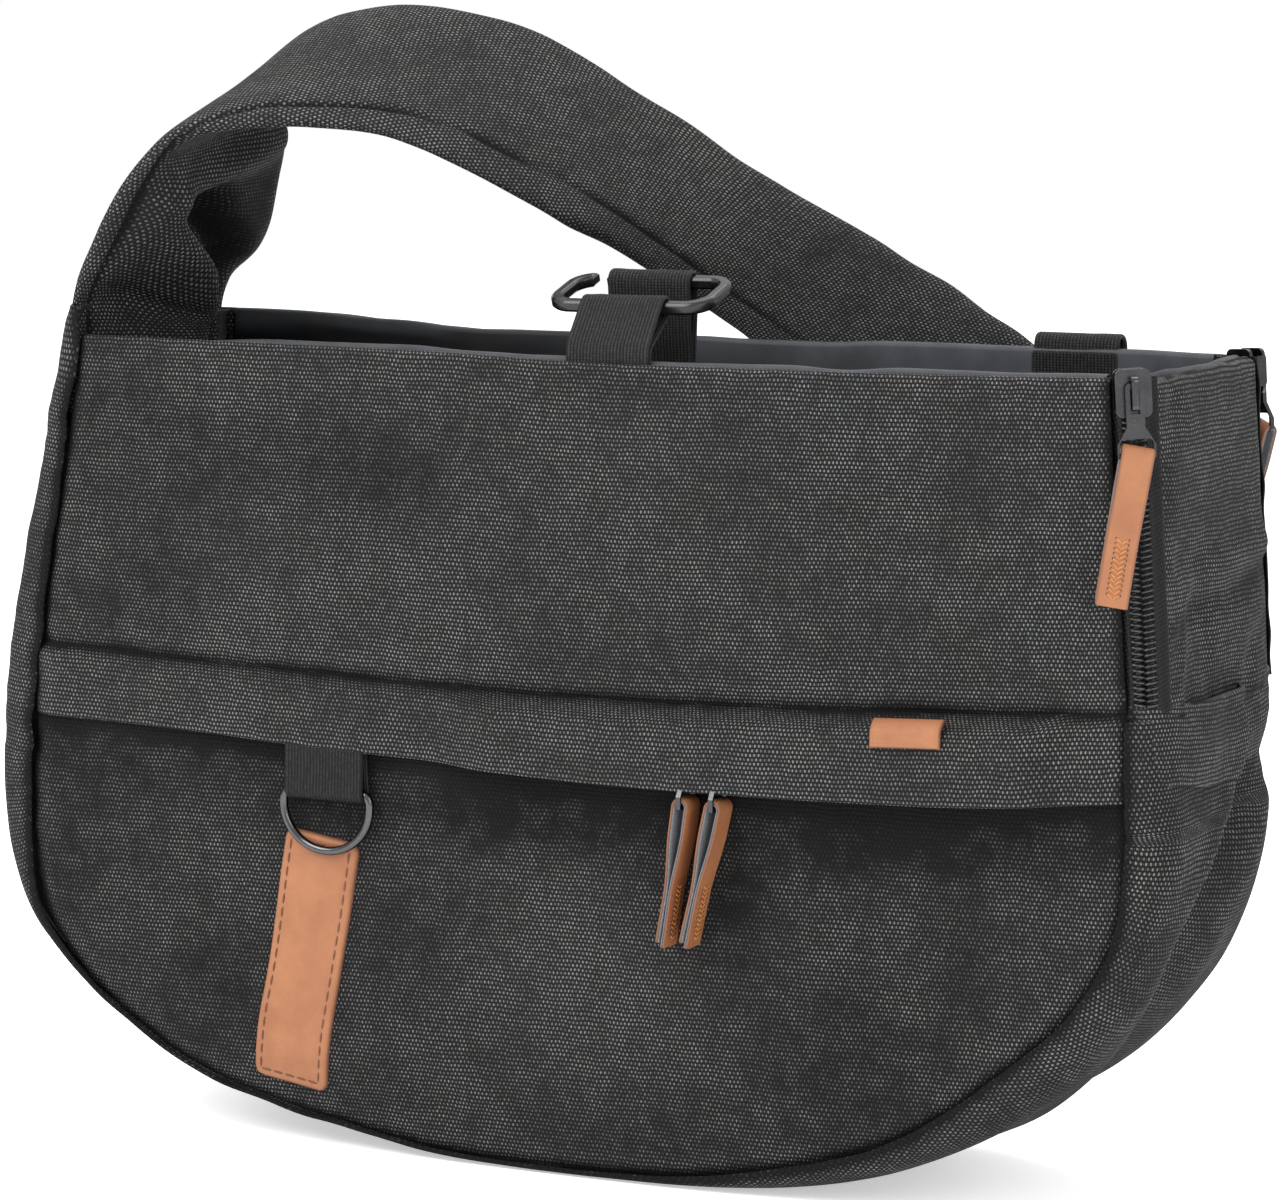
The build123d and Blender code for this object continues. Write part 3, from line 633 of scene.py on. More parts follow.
def settled(width, height, spacing, growth, pressure, seed, steps=22):
    """Simulates a pinned panel of cloth slightly too large for its frame: (x values, z values, rise)."""
    columns, rows = int(width / spacing) + 1, int(height / spacing) + 1
    x, z = np.meshgrid(np.linspace(0, width, columns), np.linspace(0, height, rows))
    start = 0.5 * ripple(x, z, 24, seed) + 0.25 * ripple(x, z, 9, seed + 1)
    rest = np.stack([x, start, z], -1)
    mesh = bpy.data.meshes.new("cloth_trial")
    mesh.from_pydata((rest.reshape(-1, 3) * MM).tolist(), [], quads(rows, columns).tolist())
    trial = bpy.data.objects.new("cloth_trial", mesh)
    bpy.context.scene.collection.objects.link(trial)
    index = np.arange(rows * columns).reshape(rows, columns)
    rim = np.unique(np.concatenate([index[0], index[-1], index[:, 0], index[:, -1]]))
    trial.vertex_groups.new(name="pins").add(rim.tolist(), 1.0, "REPLACE")
    cloth = trial.modifiers.new("cloth", "CLOTH")
    setting = cloth.settings
    setting.quality = 5
    setting.mass = 0.25
    setting.tension_stiffness = setting.compression_stiffness = 20
    setting.shear_stiffness = 10
    setting.bending_stiffness = 2.0
    setting.vertex_group_mass = "pins"
    setting.shrink_min = -growth
    setting.shrink_max = -growth
    setting.use_pressure = True
    setting.uniform_pressure_force = pressure
    setting.effector_weights.gravity = 0
    cloth.point_cache.frame_end = steps
    cloth.collision_settings.use_collision = False
    scene = bpy.context.scene
    for step in range(1, steps + 1):
        scene.frame_set(step)
    graph = bpy.context.evaluated_depsgraph_get()
    moved = np.zeros(rows * columns * 3)
    trial.evaluated_get(graph).data.vertices.foreach_get("co", moved)
    lift = (moved.reshape(rows, columns, 3)[..., 1]) / MM
    bpy.data.objects.remove(trial)
    scene.frame_set(1)
    return x[0], z[:, 0], lift


def sampled(field, x, z, cap):
    """The simulated rise at points of a panel, limited to cap."""
    xs, zs, lift = field
    fx = np.clip(np.interp(x, xs, np.arange(len(xs))), 0, len(xs) - 1.001)
    fz = np.clip(np.interp(z, zs, np.arange(len(zs))), 0, len(zs) - 1.001)
    i, j = fz.astype(int), fx.astype(int)
    a, b = fz - i, fx - j
    value = (lift[i, j] * (1 - a) * (1 - b) + lift[i + 1, j] * a * (1 - b)
             + lift[i, j + 1] * (1 - a) * b + lift[i + 1, j + 1] * a * b)
    return np.tanh(value / cap) * cap


# ---------------------------------------------------------------- the body's outline
# Stations along the outline: -1 to 0 down the left side, 0 to 1 round the bottom, 1 to 2 up the right side.
# Each table gives millimetres at stations: the seams' distance inside the outline, and the cloth's swelling.
FRONT_SEAM_INSET = table(
    (-1, 12.5), (-0.66, 8.0), (-0.38, 4.0), (-0.1, 1.6), (0.03, 0.0), (0.08, -5.0), (0.12, -9.7),
    (0.16, -10.4), (0.2, -9.1), (0.26, -7.0), (0.31, -2.8), (0.386, 1.8), (0.44, 3.4), (0.5, 4.2),
    (0.56, 4.2), (0.62, 4.2), (0.7, 3.8), (0.76, 6.6), (0.82, 7.2), (0.87, 7.0), (0.92, 8.4),
    (0.96, 10.2), (1.05, 10.3), (1.3, 10.4), (2, 11.0),
)
BULGE = table(
    (-1.09, -7.2), (-1, -3.0), (-0.84, 0), (-0.7, 3.0), (-0.556, 6.8), (-0.405, 9.6), (-0.19, 12.6),
    (0.03, 14.2), (0.08, 16.5), (0.12, 16.0), (0.16, 13.6), (0.2, 11.0), (0.24, 8.6), (0.28, 5.6),
    (0.32, 1.8), (0.386, -0.6), (0.46, -1.0), (0.53, 0.0), (0.6, 1.0), (0.68, 4.0), (0.76, 5.0),
    (0.85, 3.0), (0.92, 1.0), (1.0, 0.0), (2, 0.0),
)
BACK_INSET = table((-1, 10), (0.45, 10), (0.7, 13), (0.95, 13), (1.15, 10), (2, 10))
GUSSET_END = 1.262  # under the band
# The boxed corner's crest below the flap: its depth y, and how far the cloth falls behind it
CREST_Y = table(
    (0.6, 0), (0.7, -4), (0.76, -16), (0.82, -27), (0.88, -31), (0.93, -28), (0.965, -19),
    (1.0, -6), (1.08, 6), (1.3, 10),
)
CREST_DEPTH = table(
    (0.6, 0), (0.68, 1.8), (0.76, 6), (0.85, 11), (0.95, 12), (1.05, 10), (1.15, 6.0), (1.3, 2.5),
)


def outline(k, offset=0.0):
    """Points (x, z) at stations k, moved outwards by offset."""
    k = np.asarray(k, float)
    side = np.where(k < 0.5, -1.0, 1.0)
    rise = np.clip(np.maximum(-k, k - 1), 0, None)
    angle = np.clip(k, 0, 1) * math.pi
    x = -HALF_MID * np.cos(angle) - side * (HALF_MID - HALF_TOP) * rise
    z = Z_MID - DROP * np.sin(angle) + (HEIGHT - Z_MID) * rise
    on_side = rise > 0
    lean = math.atan((HALF_MID - HALF_TOP) / (HEIGHT - Z_MID))
    nx = np.where(on_side, side * math.cos(lean), -np.cos(angle) / HALF_MID)
    nz = np.where(on_side, math.sin(lean), -np.sin(angle) / DROP)
    size = np.hypot(nx, nz)
    return x + nx / size * offset, z + nz / size * offset


def above_floor(z, least):
    """Heights pressed flat at the bottom."""
    return least + 0.5 * ((z - least) + np.sqrt((z - least) ** 2 + 4.0)) - 0.02


def front_seam(k):
    """The front seam between panel and gusset."""
    x, z = outline(k, -FRONT_SEAM_INSET(k))
    return x, above_floor(z, 0.2)


def gusset_surface(k, y, lift=0.0):
    """Points on the gusset's outer face at stations k and depths y."""
    edge_front = np.clip((y - FRONT) / (13.0 + 26.0 * bump(k, 0.4, 0.09)), 0, 1)
    edge_rear = np.clip((BACK - y) / (13.0 + 9.0 * smooth(k, 0.45, 0.7)), 0, 1)
    round_front = 1 - np.sqrt(np.clip(1 - (1 - edge_front) ** 2, 0, 1))
    round_rear = 1 - np.sqrt(np.clip(1 - (1 - edge_rear) ** 2, 0, 1))
    top = BULGE(k) * (1 - 0.25 * smooth(y, -20, 45))
    offset = top - (top + FRONT_SEAM_INSET(k)) * round_front - (top + BACK_INSET(k)) * round_rear
    behind = y - CREST_Y(k)
    valley = smooth(behind, 0.0, 9.0) * (1 - smooth(behind, 12.0, 46.0))
    roll = bump(behind, -2.0, 7.0)
    right = smooth(k, 0.58, 0.75)
    offset = offset - right * CREST_DEPTH(k) * valley + right * 1.2 * roll
    along = k * 330.0
    offset = offset + 0.7 * ripple(along, y, 34, 5) + 0.28 * ripple(along, y, 12, 6)
    edge = np.minimum(y - FRONT, BACK - y)
    offset = offset + 0.4 * np.exp(-edge / 7.0) * ripple(along, y * 0.2, 8, 7)
    x, z = outline(k, offset + lift)
    least = 0.9 - np.minimum(lift, 0)
    return np.stack([x, np.broadcast_to(y, x.shape), above_floor(z, least)], -1)


def gusset_grid(rows, lift=0.0, margin=0.0):
    """Grid on the gusset, with its columns gathered at the seams and along the crest, and its (k, y)."""
    y_low, y_high = FRONT + margin, BACK - margin
    k = np.linspace(-1.0, GUSSET_END, rows)[:, None]
    crest = CREST_Y(np.maximum(k, 0.6))
    v = np.linspace(0, 1, 90)[None, :]
    ease = 0.5 - 0.5 * np.cos(math.pi * v)
    share = (crest - y_low) / (y_high - y_low)
    y = np.where(ease < share, y_low + (crest - y_low) * ease / share,
                 crest + (y_high - crest) * (ease - share) / (1 - share))
    k = k + 0 * y
    climb = 0.8 * (1 - smooth(y, -25, 15)) + 0.35 * smooth(y, 20, 45)
    raised = np.where(k < -0.9, (k + 0.9) * climb, 0)
    return gusset_surface(k + raised, y, lift), k, y


def seam_shade(distance, depth=0.85, width=1.6):
    """Painted shade in a seam, slightly pale just beside it."""
    return -depth * np.exp(-((distance / width) ** 2)) + 0.16 * bump(distance, 4.5, 2.2)


def make_gusset():
    """The long side strip, with the boxed crease below the flap, and its lining."""
    points, k, y = gusset_grid(380)
    across = metric_uv(points)[..., 0]
    uv = np.stack([across, path_length(points[:, 45])[:, None] + 0 * y], -1)
    # Painted shade in both seams; on the right, a painted highlight along the boxed crease's crest and
    # painted shade in the valley behind it.
    wear_and_shade = seam_shade(across - across[:, :1]) + seam_shade(across[:, -1:] - across)
    right = smooth(k, 0.62, 0.76)
    wear_and_shade = wear_and_shade + right * (0.5 * bump(y, CREST_Y(k), 1.4) - 0.5 * bump(y, CREST_Y(k) + 10, 8))
    piece = cloth_piece("gusset_canvas", points, CANVAS, CANVAS_CLOTH, uv, wear_and_shade)
    attach(piece, "bag_body", "canvas", "gusset")
    inner, k, y = gusset_grid(240, lift=-CANVAS - 1.0, margin=3.0)
    inner = inner + 0.25 * np.stack([ripple(k * 400, y, 10, 9)] * 3, -1)
    # Painted shade: the whole gusset lining is darkened, as it lies inside the bag.
    lining = cloth_piece("gusset_inside", inner, 0.5, LINING_CLOTH, None, -0.5 + 0 * y)
    attach(lining, "bag_body", "lining", "gusset_lining")


def make_band():
    """The doubled strip across the flap end: folded at its top and bottom, with a frayed rear end."""
    rows = 44
    v = np.linspace(0, 1, rows)[:, None]
    rear = BACK - 2.5
    y = FRONT + (rear - FRONT) * (1 - np.cos(np.linspace(0, math.pi / 2, 100)))[None, :]
    bottom = table((-48, 126.5), (-24, 123.0), (0, 121.0), (22, 122.5), (46, 124.5))(y)
    top = table((-48, 147.0), (-34, 146.0), (0, 145.0), (20, 146.0), (46, 148.5))(y)
    z = bottom + (top - bottom) * v
    y = y + 0 * v
    lift = 2.2 + 1.9 * np.sin(math.pi * v) ** 0.8 + 1.3 * smooth(v, 0.82, 1.0)
    lift = lift + 1.5 * v * bump(y, 34, 10) + 0.7 * ripple(y, z, 17, 31) + 0.35 * ripple(y, z, 7, 32)
    lift = lift * (0.4 + 0.6 * smooth(y, FRONT, FRONT + 20)) * (1 - 0.45 * smooth(y, BACK - 10, BACK - 2))
    points = gusset_surface(1 + (z - Z_MID) / (HEIGHT - Z_MID), y, lift)
    uv = metric_uv(points)
    front = uv[..., 0] - uv[:, :1, 0]
    # Painted shade in the front seam; paler worn folds at top and bottom, and a paler frayed rear end.
    wear_and_shade = seam_shade(front) + 0.4 * bump(v, 1.0, 0.04) + 0.25 * bump(v, 0, 0.05)
    wear_and_shade = wear_and_shade + 0.3 * bump(y, rear, 1.5)
    piece = cloth_piece("band_canvas", points, 1.9, CANVAS_CLOTH, uv, wear_and_shade, turn=-1)
    attach(piece, "bag_body", "canvas", "flap_end_band")
    fringe = []
    for z in np.arange(127.0, 146.0, 0.8):
        row = (z - 125.0) / 23.0 * (rows - 1)
        start = points[int(row), -1]
        sway = 0.8 * ripple(z, 0, 1.3, 33)
        end = start + np.array([0.6 + 0.4 * sway, 1.6 + 0.9 * ripple(z, 5, 0.9, 34), 0.6 * sway])
        fringe.append(rod([start, (start + end) / 2 + np.array([0.2, 0, 0.25 * sway]), end], 0.11, 4))
    threads = joined("band_fringe", fringe, PALE_THREAD)
    attach(threads, "bag_body", "canvas")


# ---------------------------------------------------------------- front
# Heights along the front: the seam above the welt, the welt's lower edge and the mouth's edge
SEAM_HEIGHT = table(
    (-180, 143.6), (-121, 141.6), (-70, 140.0), (2, 138.3), (74, 139.6), (125, 141.6), (172, 143.4),
)
WELT_EDGE = table(
    (-182, 122.8), (-135, 121.8), (-87, 119.8), (-33, 117.6), (15, 116.0), (62, 115.9), (107, 116.6),
    (173, 120.4),
)
TOP_EDGE = table(
    (-165, 237.6), (-86, 236.6), (-43, 236.0), (0, 234.6), (74, 234.2), (120, 234.4), (166, 235.2),
)


def front_edges():
    """Left and right edge of the front as curves over z."""
    k = np.linspace(-1.02, 2.0, 900)
    x, z = front_seam(np.clip(k, -1, 2))
    left, right = k < 0.5, k >= 0.5
    return (x[left][::-1], z[left][::-1]), (x[right], z[right])


(LEFT_X, LEFT_Z), (RIGHT_X, RIGHT_Z) = front_edges()
SEAM_LINE = np.stack(front_seam(np.linspace(-1, 2, 700)), -1)


def left_edge(z):
    """X of the front's left edge at a height."""
    return np.interp(z, LEFT_Z, LEFT_X)


def right_edge(z):
    """X of the front's right edge at a height."""
    return np.interp(z, RIGHT_Z, RIGHT_X)


def seam_distance(x, z):
    """Distance to the seam round the front."""
    flat = np.stack([x.ravel(), z.ravel()], -1)
    best = np.full(len(flat), 1e9)
    for chunk in np.array_split(SEAM_LINE, 20):
        gap = np.linalg.norm(flat[:, None] - chunk[None], axis=2).min(1)
        best = np.minimum(best, gap)
    return best.reshape(x.shape)


# Dark and pale areas of the canvas: partly washed mottling, partly painted light and shade of soft folds,
# with a painted shadow beside the pocket's pull tabs
UPPER_MOTTLES_AND_SHADE = (
    (-0.36, (-100, 38), (208, 14)), (-0.22, (-58, 20), (196, 12)), (-0.12, (98, 30), (203, 14)),
    (0.14, (27, 14), (213, 12)), (-0.12, (22, 25), (229, 8)),
)
POCKET_MOTTLES_AND_SHADE = (
    (0.40, (3, 42), (58, 38)), (-0.16, (92, 16), (52, 22)), (-0.3, (58, 9), (86, 14)),
)
UPPER_FIELD = settled(2 * FIELD_HALF, 110, 5.0, 0.012, 0.4, 11)
POCKET_FIELD = settled(2 * FIELD_HALF, 140, 5.0, 0.014, 0.5, 21)


def pocket_out(x, z):
    """How far the pocket panel stands out from the front plane."""
    d = seam_distance(x, z)
    belly = 1.2 * d / (d + 18) + 3.0 * bump(z, 28, 22) * smooth(d, 2, 30) * (1 - 0.5 * bump(x, 45, 30))
    still = 1 - 0.75 * bump(x, 45, 26) * bump(z, 92, 28) - 0.75 * bump(x, -80, 22) * bump(z, 55, 50)
    wrinkle = sampled(POCKET_FIELD, x + FIELD_HALF, z, 1.6) * smooth(d, 0, 14) * still
    pucker = 0.35 * np.exp(-d / 8) * ripple(x * 1.2, z * 1.2, 9, 23)
    tuck = 2.6 * np.exp(-(d / 3.2))
    out = belly + 0.6 * wrinkle + pucker
    cap = 1.7 + 3.0 * (1 - smooth(z, 55, 70))
    return np.where(out > 0, cap * np.tanh(out / cap), out) - tuck


def upper_out(x, z):
    """How far the upper panel stands out from the front plane."""
    side = np.minimum(x - left_edge(z), right_edge(z) - x)
    low_gap, top_gap = z - SEAM_HEIGHT(x), TOP_EDGE(x) - z
    gap = np.minimum(side, low_gap)
    wrinkle = sampled(UPPER_FIELD, x + FIELD_HALF, z - 136, 1.8)
    wrinkle = wrinkle * smooth(gap, 0, 14) * smooth(top_gap, -2, 12)
    pucker = 0.4 * np.exp(-np.maximum(gap, 0) / 7) * ripple(x, z, 9, 13)
    hang = 1.2 * bump(z, 160, 26) * smooth(side, 0, 40)
    sewn = np.where(x < 0, 1.7, 0.2)
    tuck = sewn * np.exp(-np.maximum(side, 0) / 2.2) + 1.9 * np.exp(-np.maximum(low_gap, 0) / 2.6)
    return hang + 0.7 * wrinkle + pucker - tuck


def make_upper_panel():
    """Upper front panel, rolled over its top edge."""
    u = np.linspace(0, 1, 250)[None, :]
    v = np.linspace(0, 1, 84)[:, None]
    guess = 143 + (HEIGHT - 143) * v
    x = left_edge(guess) + (right_edge(guess) - left_edge(guess)) * u
    z = SEAM_HEIGHT(x) - 1.0 + (TOP_EDGE(x) - 2.2 - SEAM_HEIGHT(x) + 1.0) * v
    y = FRONT - upper_out(x, z)
    body = np.stack([x, y, z], -1)
    points = rolled(body, 1.9, 2.1, 10, (3, 7, 12))
    x, z = points[..., 0], points[..., 2]
    side = np.minimum(x - left_edge(z), right_edge(z) - x)
    gap = z - SEAM_HEIGHT(x)
    # Painted shade in the side seams and in the groove along the panel's lower edge, slightly paler just
    # above it and along the rolled top edge; then the mottles with their painted light and shade, darker
    # towards the left.
    wear_and_shade = seam_shade(np.abs(side)) - 0.9 * np.exp(-((gap / 2.0) ** 2)) + 0.2 * bump(gap, 6, 2.5)
    wear_and_shade += 0.25 * bump(z, TOP_EDGE(x) + 0.2, 1.4)
    wear_and_shade += mottled(x, z, UPPER_MOTTLES_AND_SHADE) - 0.05 - 0.2 * (1 - smooth(x, -142, -108))
    uv = draped_uv(points)
    piece = cloth_piece("upper_panel_canvas", points, 1.1, CANVAS_CLOTH, uv, wear_and_shade, turn=-1)
    attach(piece, "bag_body", "canvas", "front_upper_panel", "front_foam")


def make_pocket_panel():
    """The lower front panel over the pocket."""
    angle = np.linspace(0, math.pi / 2, 130)
    z_rows = (126.0 - (126.0 - 0.7) * np.sin(angle))[::-1][:, None]
    u = np.linspace(0, 1, 240)[None, :]
    x = left_edge(z_rows) + (right_edge(z_rows) - left_edge(z_rows)) * u
    z = z_rows + 0 * x
    d = seam_distance(x, z)
    y = FRONT - pocket_out(x, z)
    points = np.stack([x, y, z], -1)
    # Painted shade in the seam round the panel.
    wear_and_shade = seam_shade(d, 0.8, 1.8) * (z < 124)
    # Painted shadow of the welt on the panel below its lower edge.
    wear_and_shade -= 0.55 * smooth(z, WELT_EDGE(x) - 9, WELT_EDGE(x) - 1)
    wear_and_shade -= 0.42 * smooth(z, WELT_EDGE(x) - 30, WELT_EDGE(x) - 12) * (0.35 + 0.65 * smooth(x, -95, -60))
    # Then the mottles with their painted light and shade, darker all over by 0.28 and less so at the right.
    wear_and_shade += mottled(x, z, POCKET_MOTTLES_AND_SHADE) - 0.28 + 0.12 * smooth(x, 115, 140)
    piece = cloth_piece("pocket_panel_canvas", points, 1.1, CANVAS_CLOTH, points[..., [0, 2]], wear_and_shade, turn=-1)
    attach(piece, "bag_body", "canvas", "pocket_panel")


def make_pocket_wall():
    """The pocket's inner wall of lining cloth."""
    z = np.linspace(8, 142, 60)[:, None]
    u = np.linspace(0, 1, 110)[None, :]
    x = left_edge(z) + 3 + (right_edge(z) - left_edge(z) - 6) * u
    z = z + 0 * x
    y = -44.4 + 0.25 * ripple(x, z, 12, 41) - 0.1
    points = np.stack([x, y, z], -1)
    # Painted shade: the pocket's inner wall is darkened all over.
    wear_and_shade = np.full_like(x, -0.4)
    piece = cloth_piece("pocket_lining", points, 0.5, LINING_CLOTH, points[..., [0, 2]], wear_and_shade, turn=-1)
    attach(piece, "bag_body", "lining", "pocket_inner_wall")


def welt_stand(x):
    """How far the welt stands off the front plane: most over the zip's pulls."""
    x = np.asarray(x, float)
    ends = smooth(x, -181, -168) * (1 - smooth(x, 158, 171))
    pulls = 6.0 * smooth(x, -45, -18) * (1 - smooth(x, 140, 158)) + 0.7 * bump(x, 47, 20)
    return 1.2 + ends * (2.2 + pulls + 2.2 * bump(x, -76, 30) + 0.5 * ripple(x, 0 * x, 26, 51))


WELT_SHARE = table((-1, 0.0), (1, 0.2), (2.4, 0.62), (4.6, 0.93), (8.5, 1.0), (30, 1.0))


def make_welt():
    """The strip over the pocket zip: out of the upper seam, down, and folded back under itself."""
    x = np.linspace(left_edge(130) + 0.4, right_edge(130) - 0.4, 260)
    seam, edge, depth = SEAM_HEIGHT(x), WELT_EDGE(x), np.maximum(welt_stand(x) - 1.2, 0)
    section = [
        (seam + 1.2, -1.4 + 0 * x), (seam + 0.2, -0.6 + 0 * x), (seam - 1.0, 0.6 + 0.20 * depth),
        (seam - 2.4, 1.1 + 0.62 * depth), (seam - 4.6, 1.2 + 0.93 * depth), (seam - 8.5, 1.2 + 1.0 * depth),
        (seam - 13, 1.2 + 1.0 * depth), (edge + 6, 1.5 + 1.0 * depth), (edge + 2.5, 1.7 + 1.0 * depth),
        (edge + 0.8, 1.5 + 1.0 * depth), (edge + 0.1, 0.9 + 1.0 * depth), (edge + 0.4, 0.2 + 0.98 * depth),
        (edge + 1.8, -0.2 + 0.95 * depth), (edge + 9, -0.25 + 0.95 * depth),
    ]
    rows = 66
    z, o = (through(np.stack(values), rows) for values in zip(*section))
    xx = np.broadcast_to(x, z.shape)
    side = np.minimum(xx - x[0], x[-1] - xx)
    waves = 0.5 * ripple(xx, z, 22, 52) + 0.25 * ripple(xx, z, 9, 53)
    o = o + smooth(seam - z, 1, 6) * waves * smooth(side, 0, 10) - 1.6 * np.exp(-side / 2.2)
    points = np.stack([xx, FRONT - o, z], -1)
    row = np.linspace(0, len(section) - 1, rows)[:, None]
    # Painted shade in the end seams, along the seam at the top and on the turned-under back; paler along the
    # lower fold.
    wear_and_shade = seam_shade(side) - 0.9 * (1 - smooth(row, 0.5, 2.6)) + 0.3 * bump(row, 9.3, 0.8)
    wear_and_shade = wear_and_shade - 0.9 * smooth(row, 10.4, 11.4)
    uv = metric_uv(points)
    uv[..., 0] = xx
    piece = cloth_piece("welt_canvas", points, 0.9, CANVAS_CLOTH, uv, wear_and_shade)
    attach(piece, "bag_body", "canvas", "welt")


def make_front_lining():
    """Nylon inside the front, standing a little proud of the canvas as a wavy edge."""
    z = np.linspace(12, HEIGHT, 70)[:, None]
    u = np.linspace(0, 1, 200)[None, :]
    x = left_edge(z) + 4 + (right_edge(z) - left_edge(z) - 6) * u
    top = TOP_EDGE(x) - 1.2 + 2.0 * smooth(x, -140, -95) + 0.5 * ripple(x, 0 * x, 17, 61)
    z = 12 + (z - 12) / (HEIGHT - 12) * (top - 1.6 - 12)
    y = -40.4 + 0.5 * ripple(x, z, 21, 62) + 0.3 * ripple(x, z, 8, 63)
    body = np.stack([x, y, z], -1)
    points = rolled(body, -1.7, 1.6, 9)
    # Painted shade inside the mouth below the top edge, darker towards the left.
    wear_and_shade = -0.75 * (1 - smooth(points[..., 2], HEIGHT - 22, HEIGHT - 1))
    wear_and_shade = wear_and_shade - 0.2 * (1 - smooth(points[..., 0], -120, 60))
    piece = cloth_piece("front_inside", points, 0.5, LINING_CLOTH, draped_uv(points), wear_and_shade)
    attach(piece, "bag_body", "lining", "front_lining")


# ---------------------------------------------------------------- back
BACK_FIELD = settled(2 * FIELD_HALF, 240, 7.0, 0.01, 0.4, 71)
BACK_RISE = table(
    (-180, 4.4), (-150, 4.4), (-125, 3.6), (-107, 2.1), (-94, 1.3), (-64, 0), (-40, 0), (180, 0),
)


def back_span(z, u):
    """How far the back reaches at a height to the side that u's sign tells, at its seam."""
    reach = []
    for end in (-1.0, 2.0):
        k = np.linspace(0.5, end, 500)
        x, height = outline(k, -BACK_INSET(k))
        reach.append(np.interp(z, height, np.abs(x)))
    return np.where(u < 0, *reach)


def back_rows(count, bottom, top):
    """Heights gathered towards the bottom, where the outline turns fast."""
    return top - (top - bottom) * np.sin(np.linspace(0, math.pi / 2, count))[::-1][:, None]


def make_back():
    """Canvas of the wearer's side, rolled over its top edge."""
    z = back_rows(150, 6.6, HEIGHT - 2.2)
    u = np.linspace(-1, 1, 220)[None, :]
    x = back_span(z, u) * u
    z = z + 0 * x
    d = np.minimum((1 - np.abs(u)) * back_span(z, u), z - 5)
    out = 1.6 * d / (d + 14) - 2.2 * np.exp(-d / 3)
    out = out + 0.55 * sampled(BACK_FIELD, x + FIELD_HALF, z, 1.6) * smooth(d, 0, 16)
    flat_under_strap = 1 - 0.8 * smooth(z - (246 - 0.72 * x), -45, 10) * smooth(x, -40, 30)
    out = np.where(out > 0, out * flat_under_strap, out)
    z = z + BACK_RISE(x) * smooth(z, HEIGHT - 60, HEIGHT)
    body = np.stack([x, BACK + out - 0.4, z], -1)
    points = rolled(body, -1.9, 2.1, 10, (3, 7, 12))
    side = np.concatenate([d, np.repeat(d[-1:], 13, 0)])
    # Painted shade in the seams; the rolled top edge is paler.
    wear_and_shade = seam_shade(side) + 0.25 * bump(points[..., 2], HEIGHT, 1.5)
    piece = cloth_piece("back_canvas", points, 1.1, CANVAS_CLOTH, draped_uv(points), wear_and_shade)
    attach(piece, "bag_body", "canvas", "back_panel", "back_foam")


def make_back_lining():
    """Nylon inside the back, rolled over its top edge."""
    z = back_rows(100, 12, HEIGHT - 1.2)
    u = np.linspace(-1, 1, 170)[None, :]
    x = (back_span(z, u) - 3) * u
    z = z + 0 * x
    z = z + smooth(z, HEIGHT - 30, HEIGHT) * (0.6 * ripple(x, 0 * x, 20, 73))
    z = z + BACK_RISE(x) * smooth(z, HEIGHT - 60, HEIGHT)
    y = BACK - 7.4 + 0.5 * ripple(x, z, 24, 74) + 0.35 * ripple(x, z, 9, 75)
    body = np.stack([x, y, z], -1)
    points = rolled(body, 1.7, 1.6, 9)
    # Painted shade inside the bag below the top edge, and deep painted shade at the left just below the
    # edge.
    wear_and_shade = -0.6 * (1 - smooth(points[..., 2], HEIGHT - 26, HEIGHT - 2))
    below_edge = 1 - smooth(points[..., 2], HEIGHT - 1.5, HEIGHT + 1)
    wear_and_shade = wear_and_shade - 0.85 * (1 - smooth(points[..., 0], -110, 120)) * below_edge
    piece = cloth_piece("back_inside", points, 0.5, LINING_CLOTH, draped_uv(points), wear_and_shade, turn=-1)
    attach(piece, "bag_body", "lining", "back_lining")


def make_base_pad():
    """Thin padded base, covered in lining cloth, crowned and quilted along two lines."""
    corner, stand = low("base_pad"), high("base_pad")
    centre = (corner + stand) / 2
    half = (stand - corner) / 2
    rows, columns = 60, 96
    v = np.linspace(0, math.pi, rows)[:, None]
    a = np.linspace(0, 2 * math.pi, columns, endpoint=False)[None, :]
    power = 0.45
    ring = np.sin(v) ** 0.35
    x = half[0] * 0.985 * ring * np.sign(np.cos(a)) * np.abs(np.cos(a)) ** power
    y = half[1] * 0.985 * ring * np.sign(np.sin(a)) * np.abs(np.sin(a)) ** power
    quilt = 1 - 0.45 * bump(np.abs(x), half[0] / 3, 2.2)
    z = half[2] * np.sign(np.cos(v)) * np.abs(np.cos(v)) ** 0.6 * quilt
    rings = np.stack([x, y, z + 0 * a], -1) + centre
    uv = np.concatenate([rings, rings[:, :1]], 1)[..., :2] - centre[:2]
    piece = tube_piece("base_cushion", rings, LINING_CLOTH, uv=uv)
    attach(piece, "bag_body", "lining", "base_pad")


# ---------------------------------------------------------------- flap end
FLAP_FIELD = settled(90, 100, 3.0, 0.03, 1.2, 81)


def flap_x(z, out):
    """X of the flap's plane at a height, moved outwards."""
    return HALF_MID + (HALF_TOP - HALF_MID) * (z - Z_MID) / (HEIGHT - Z_MID) + out


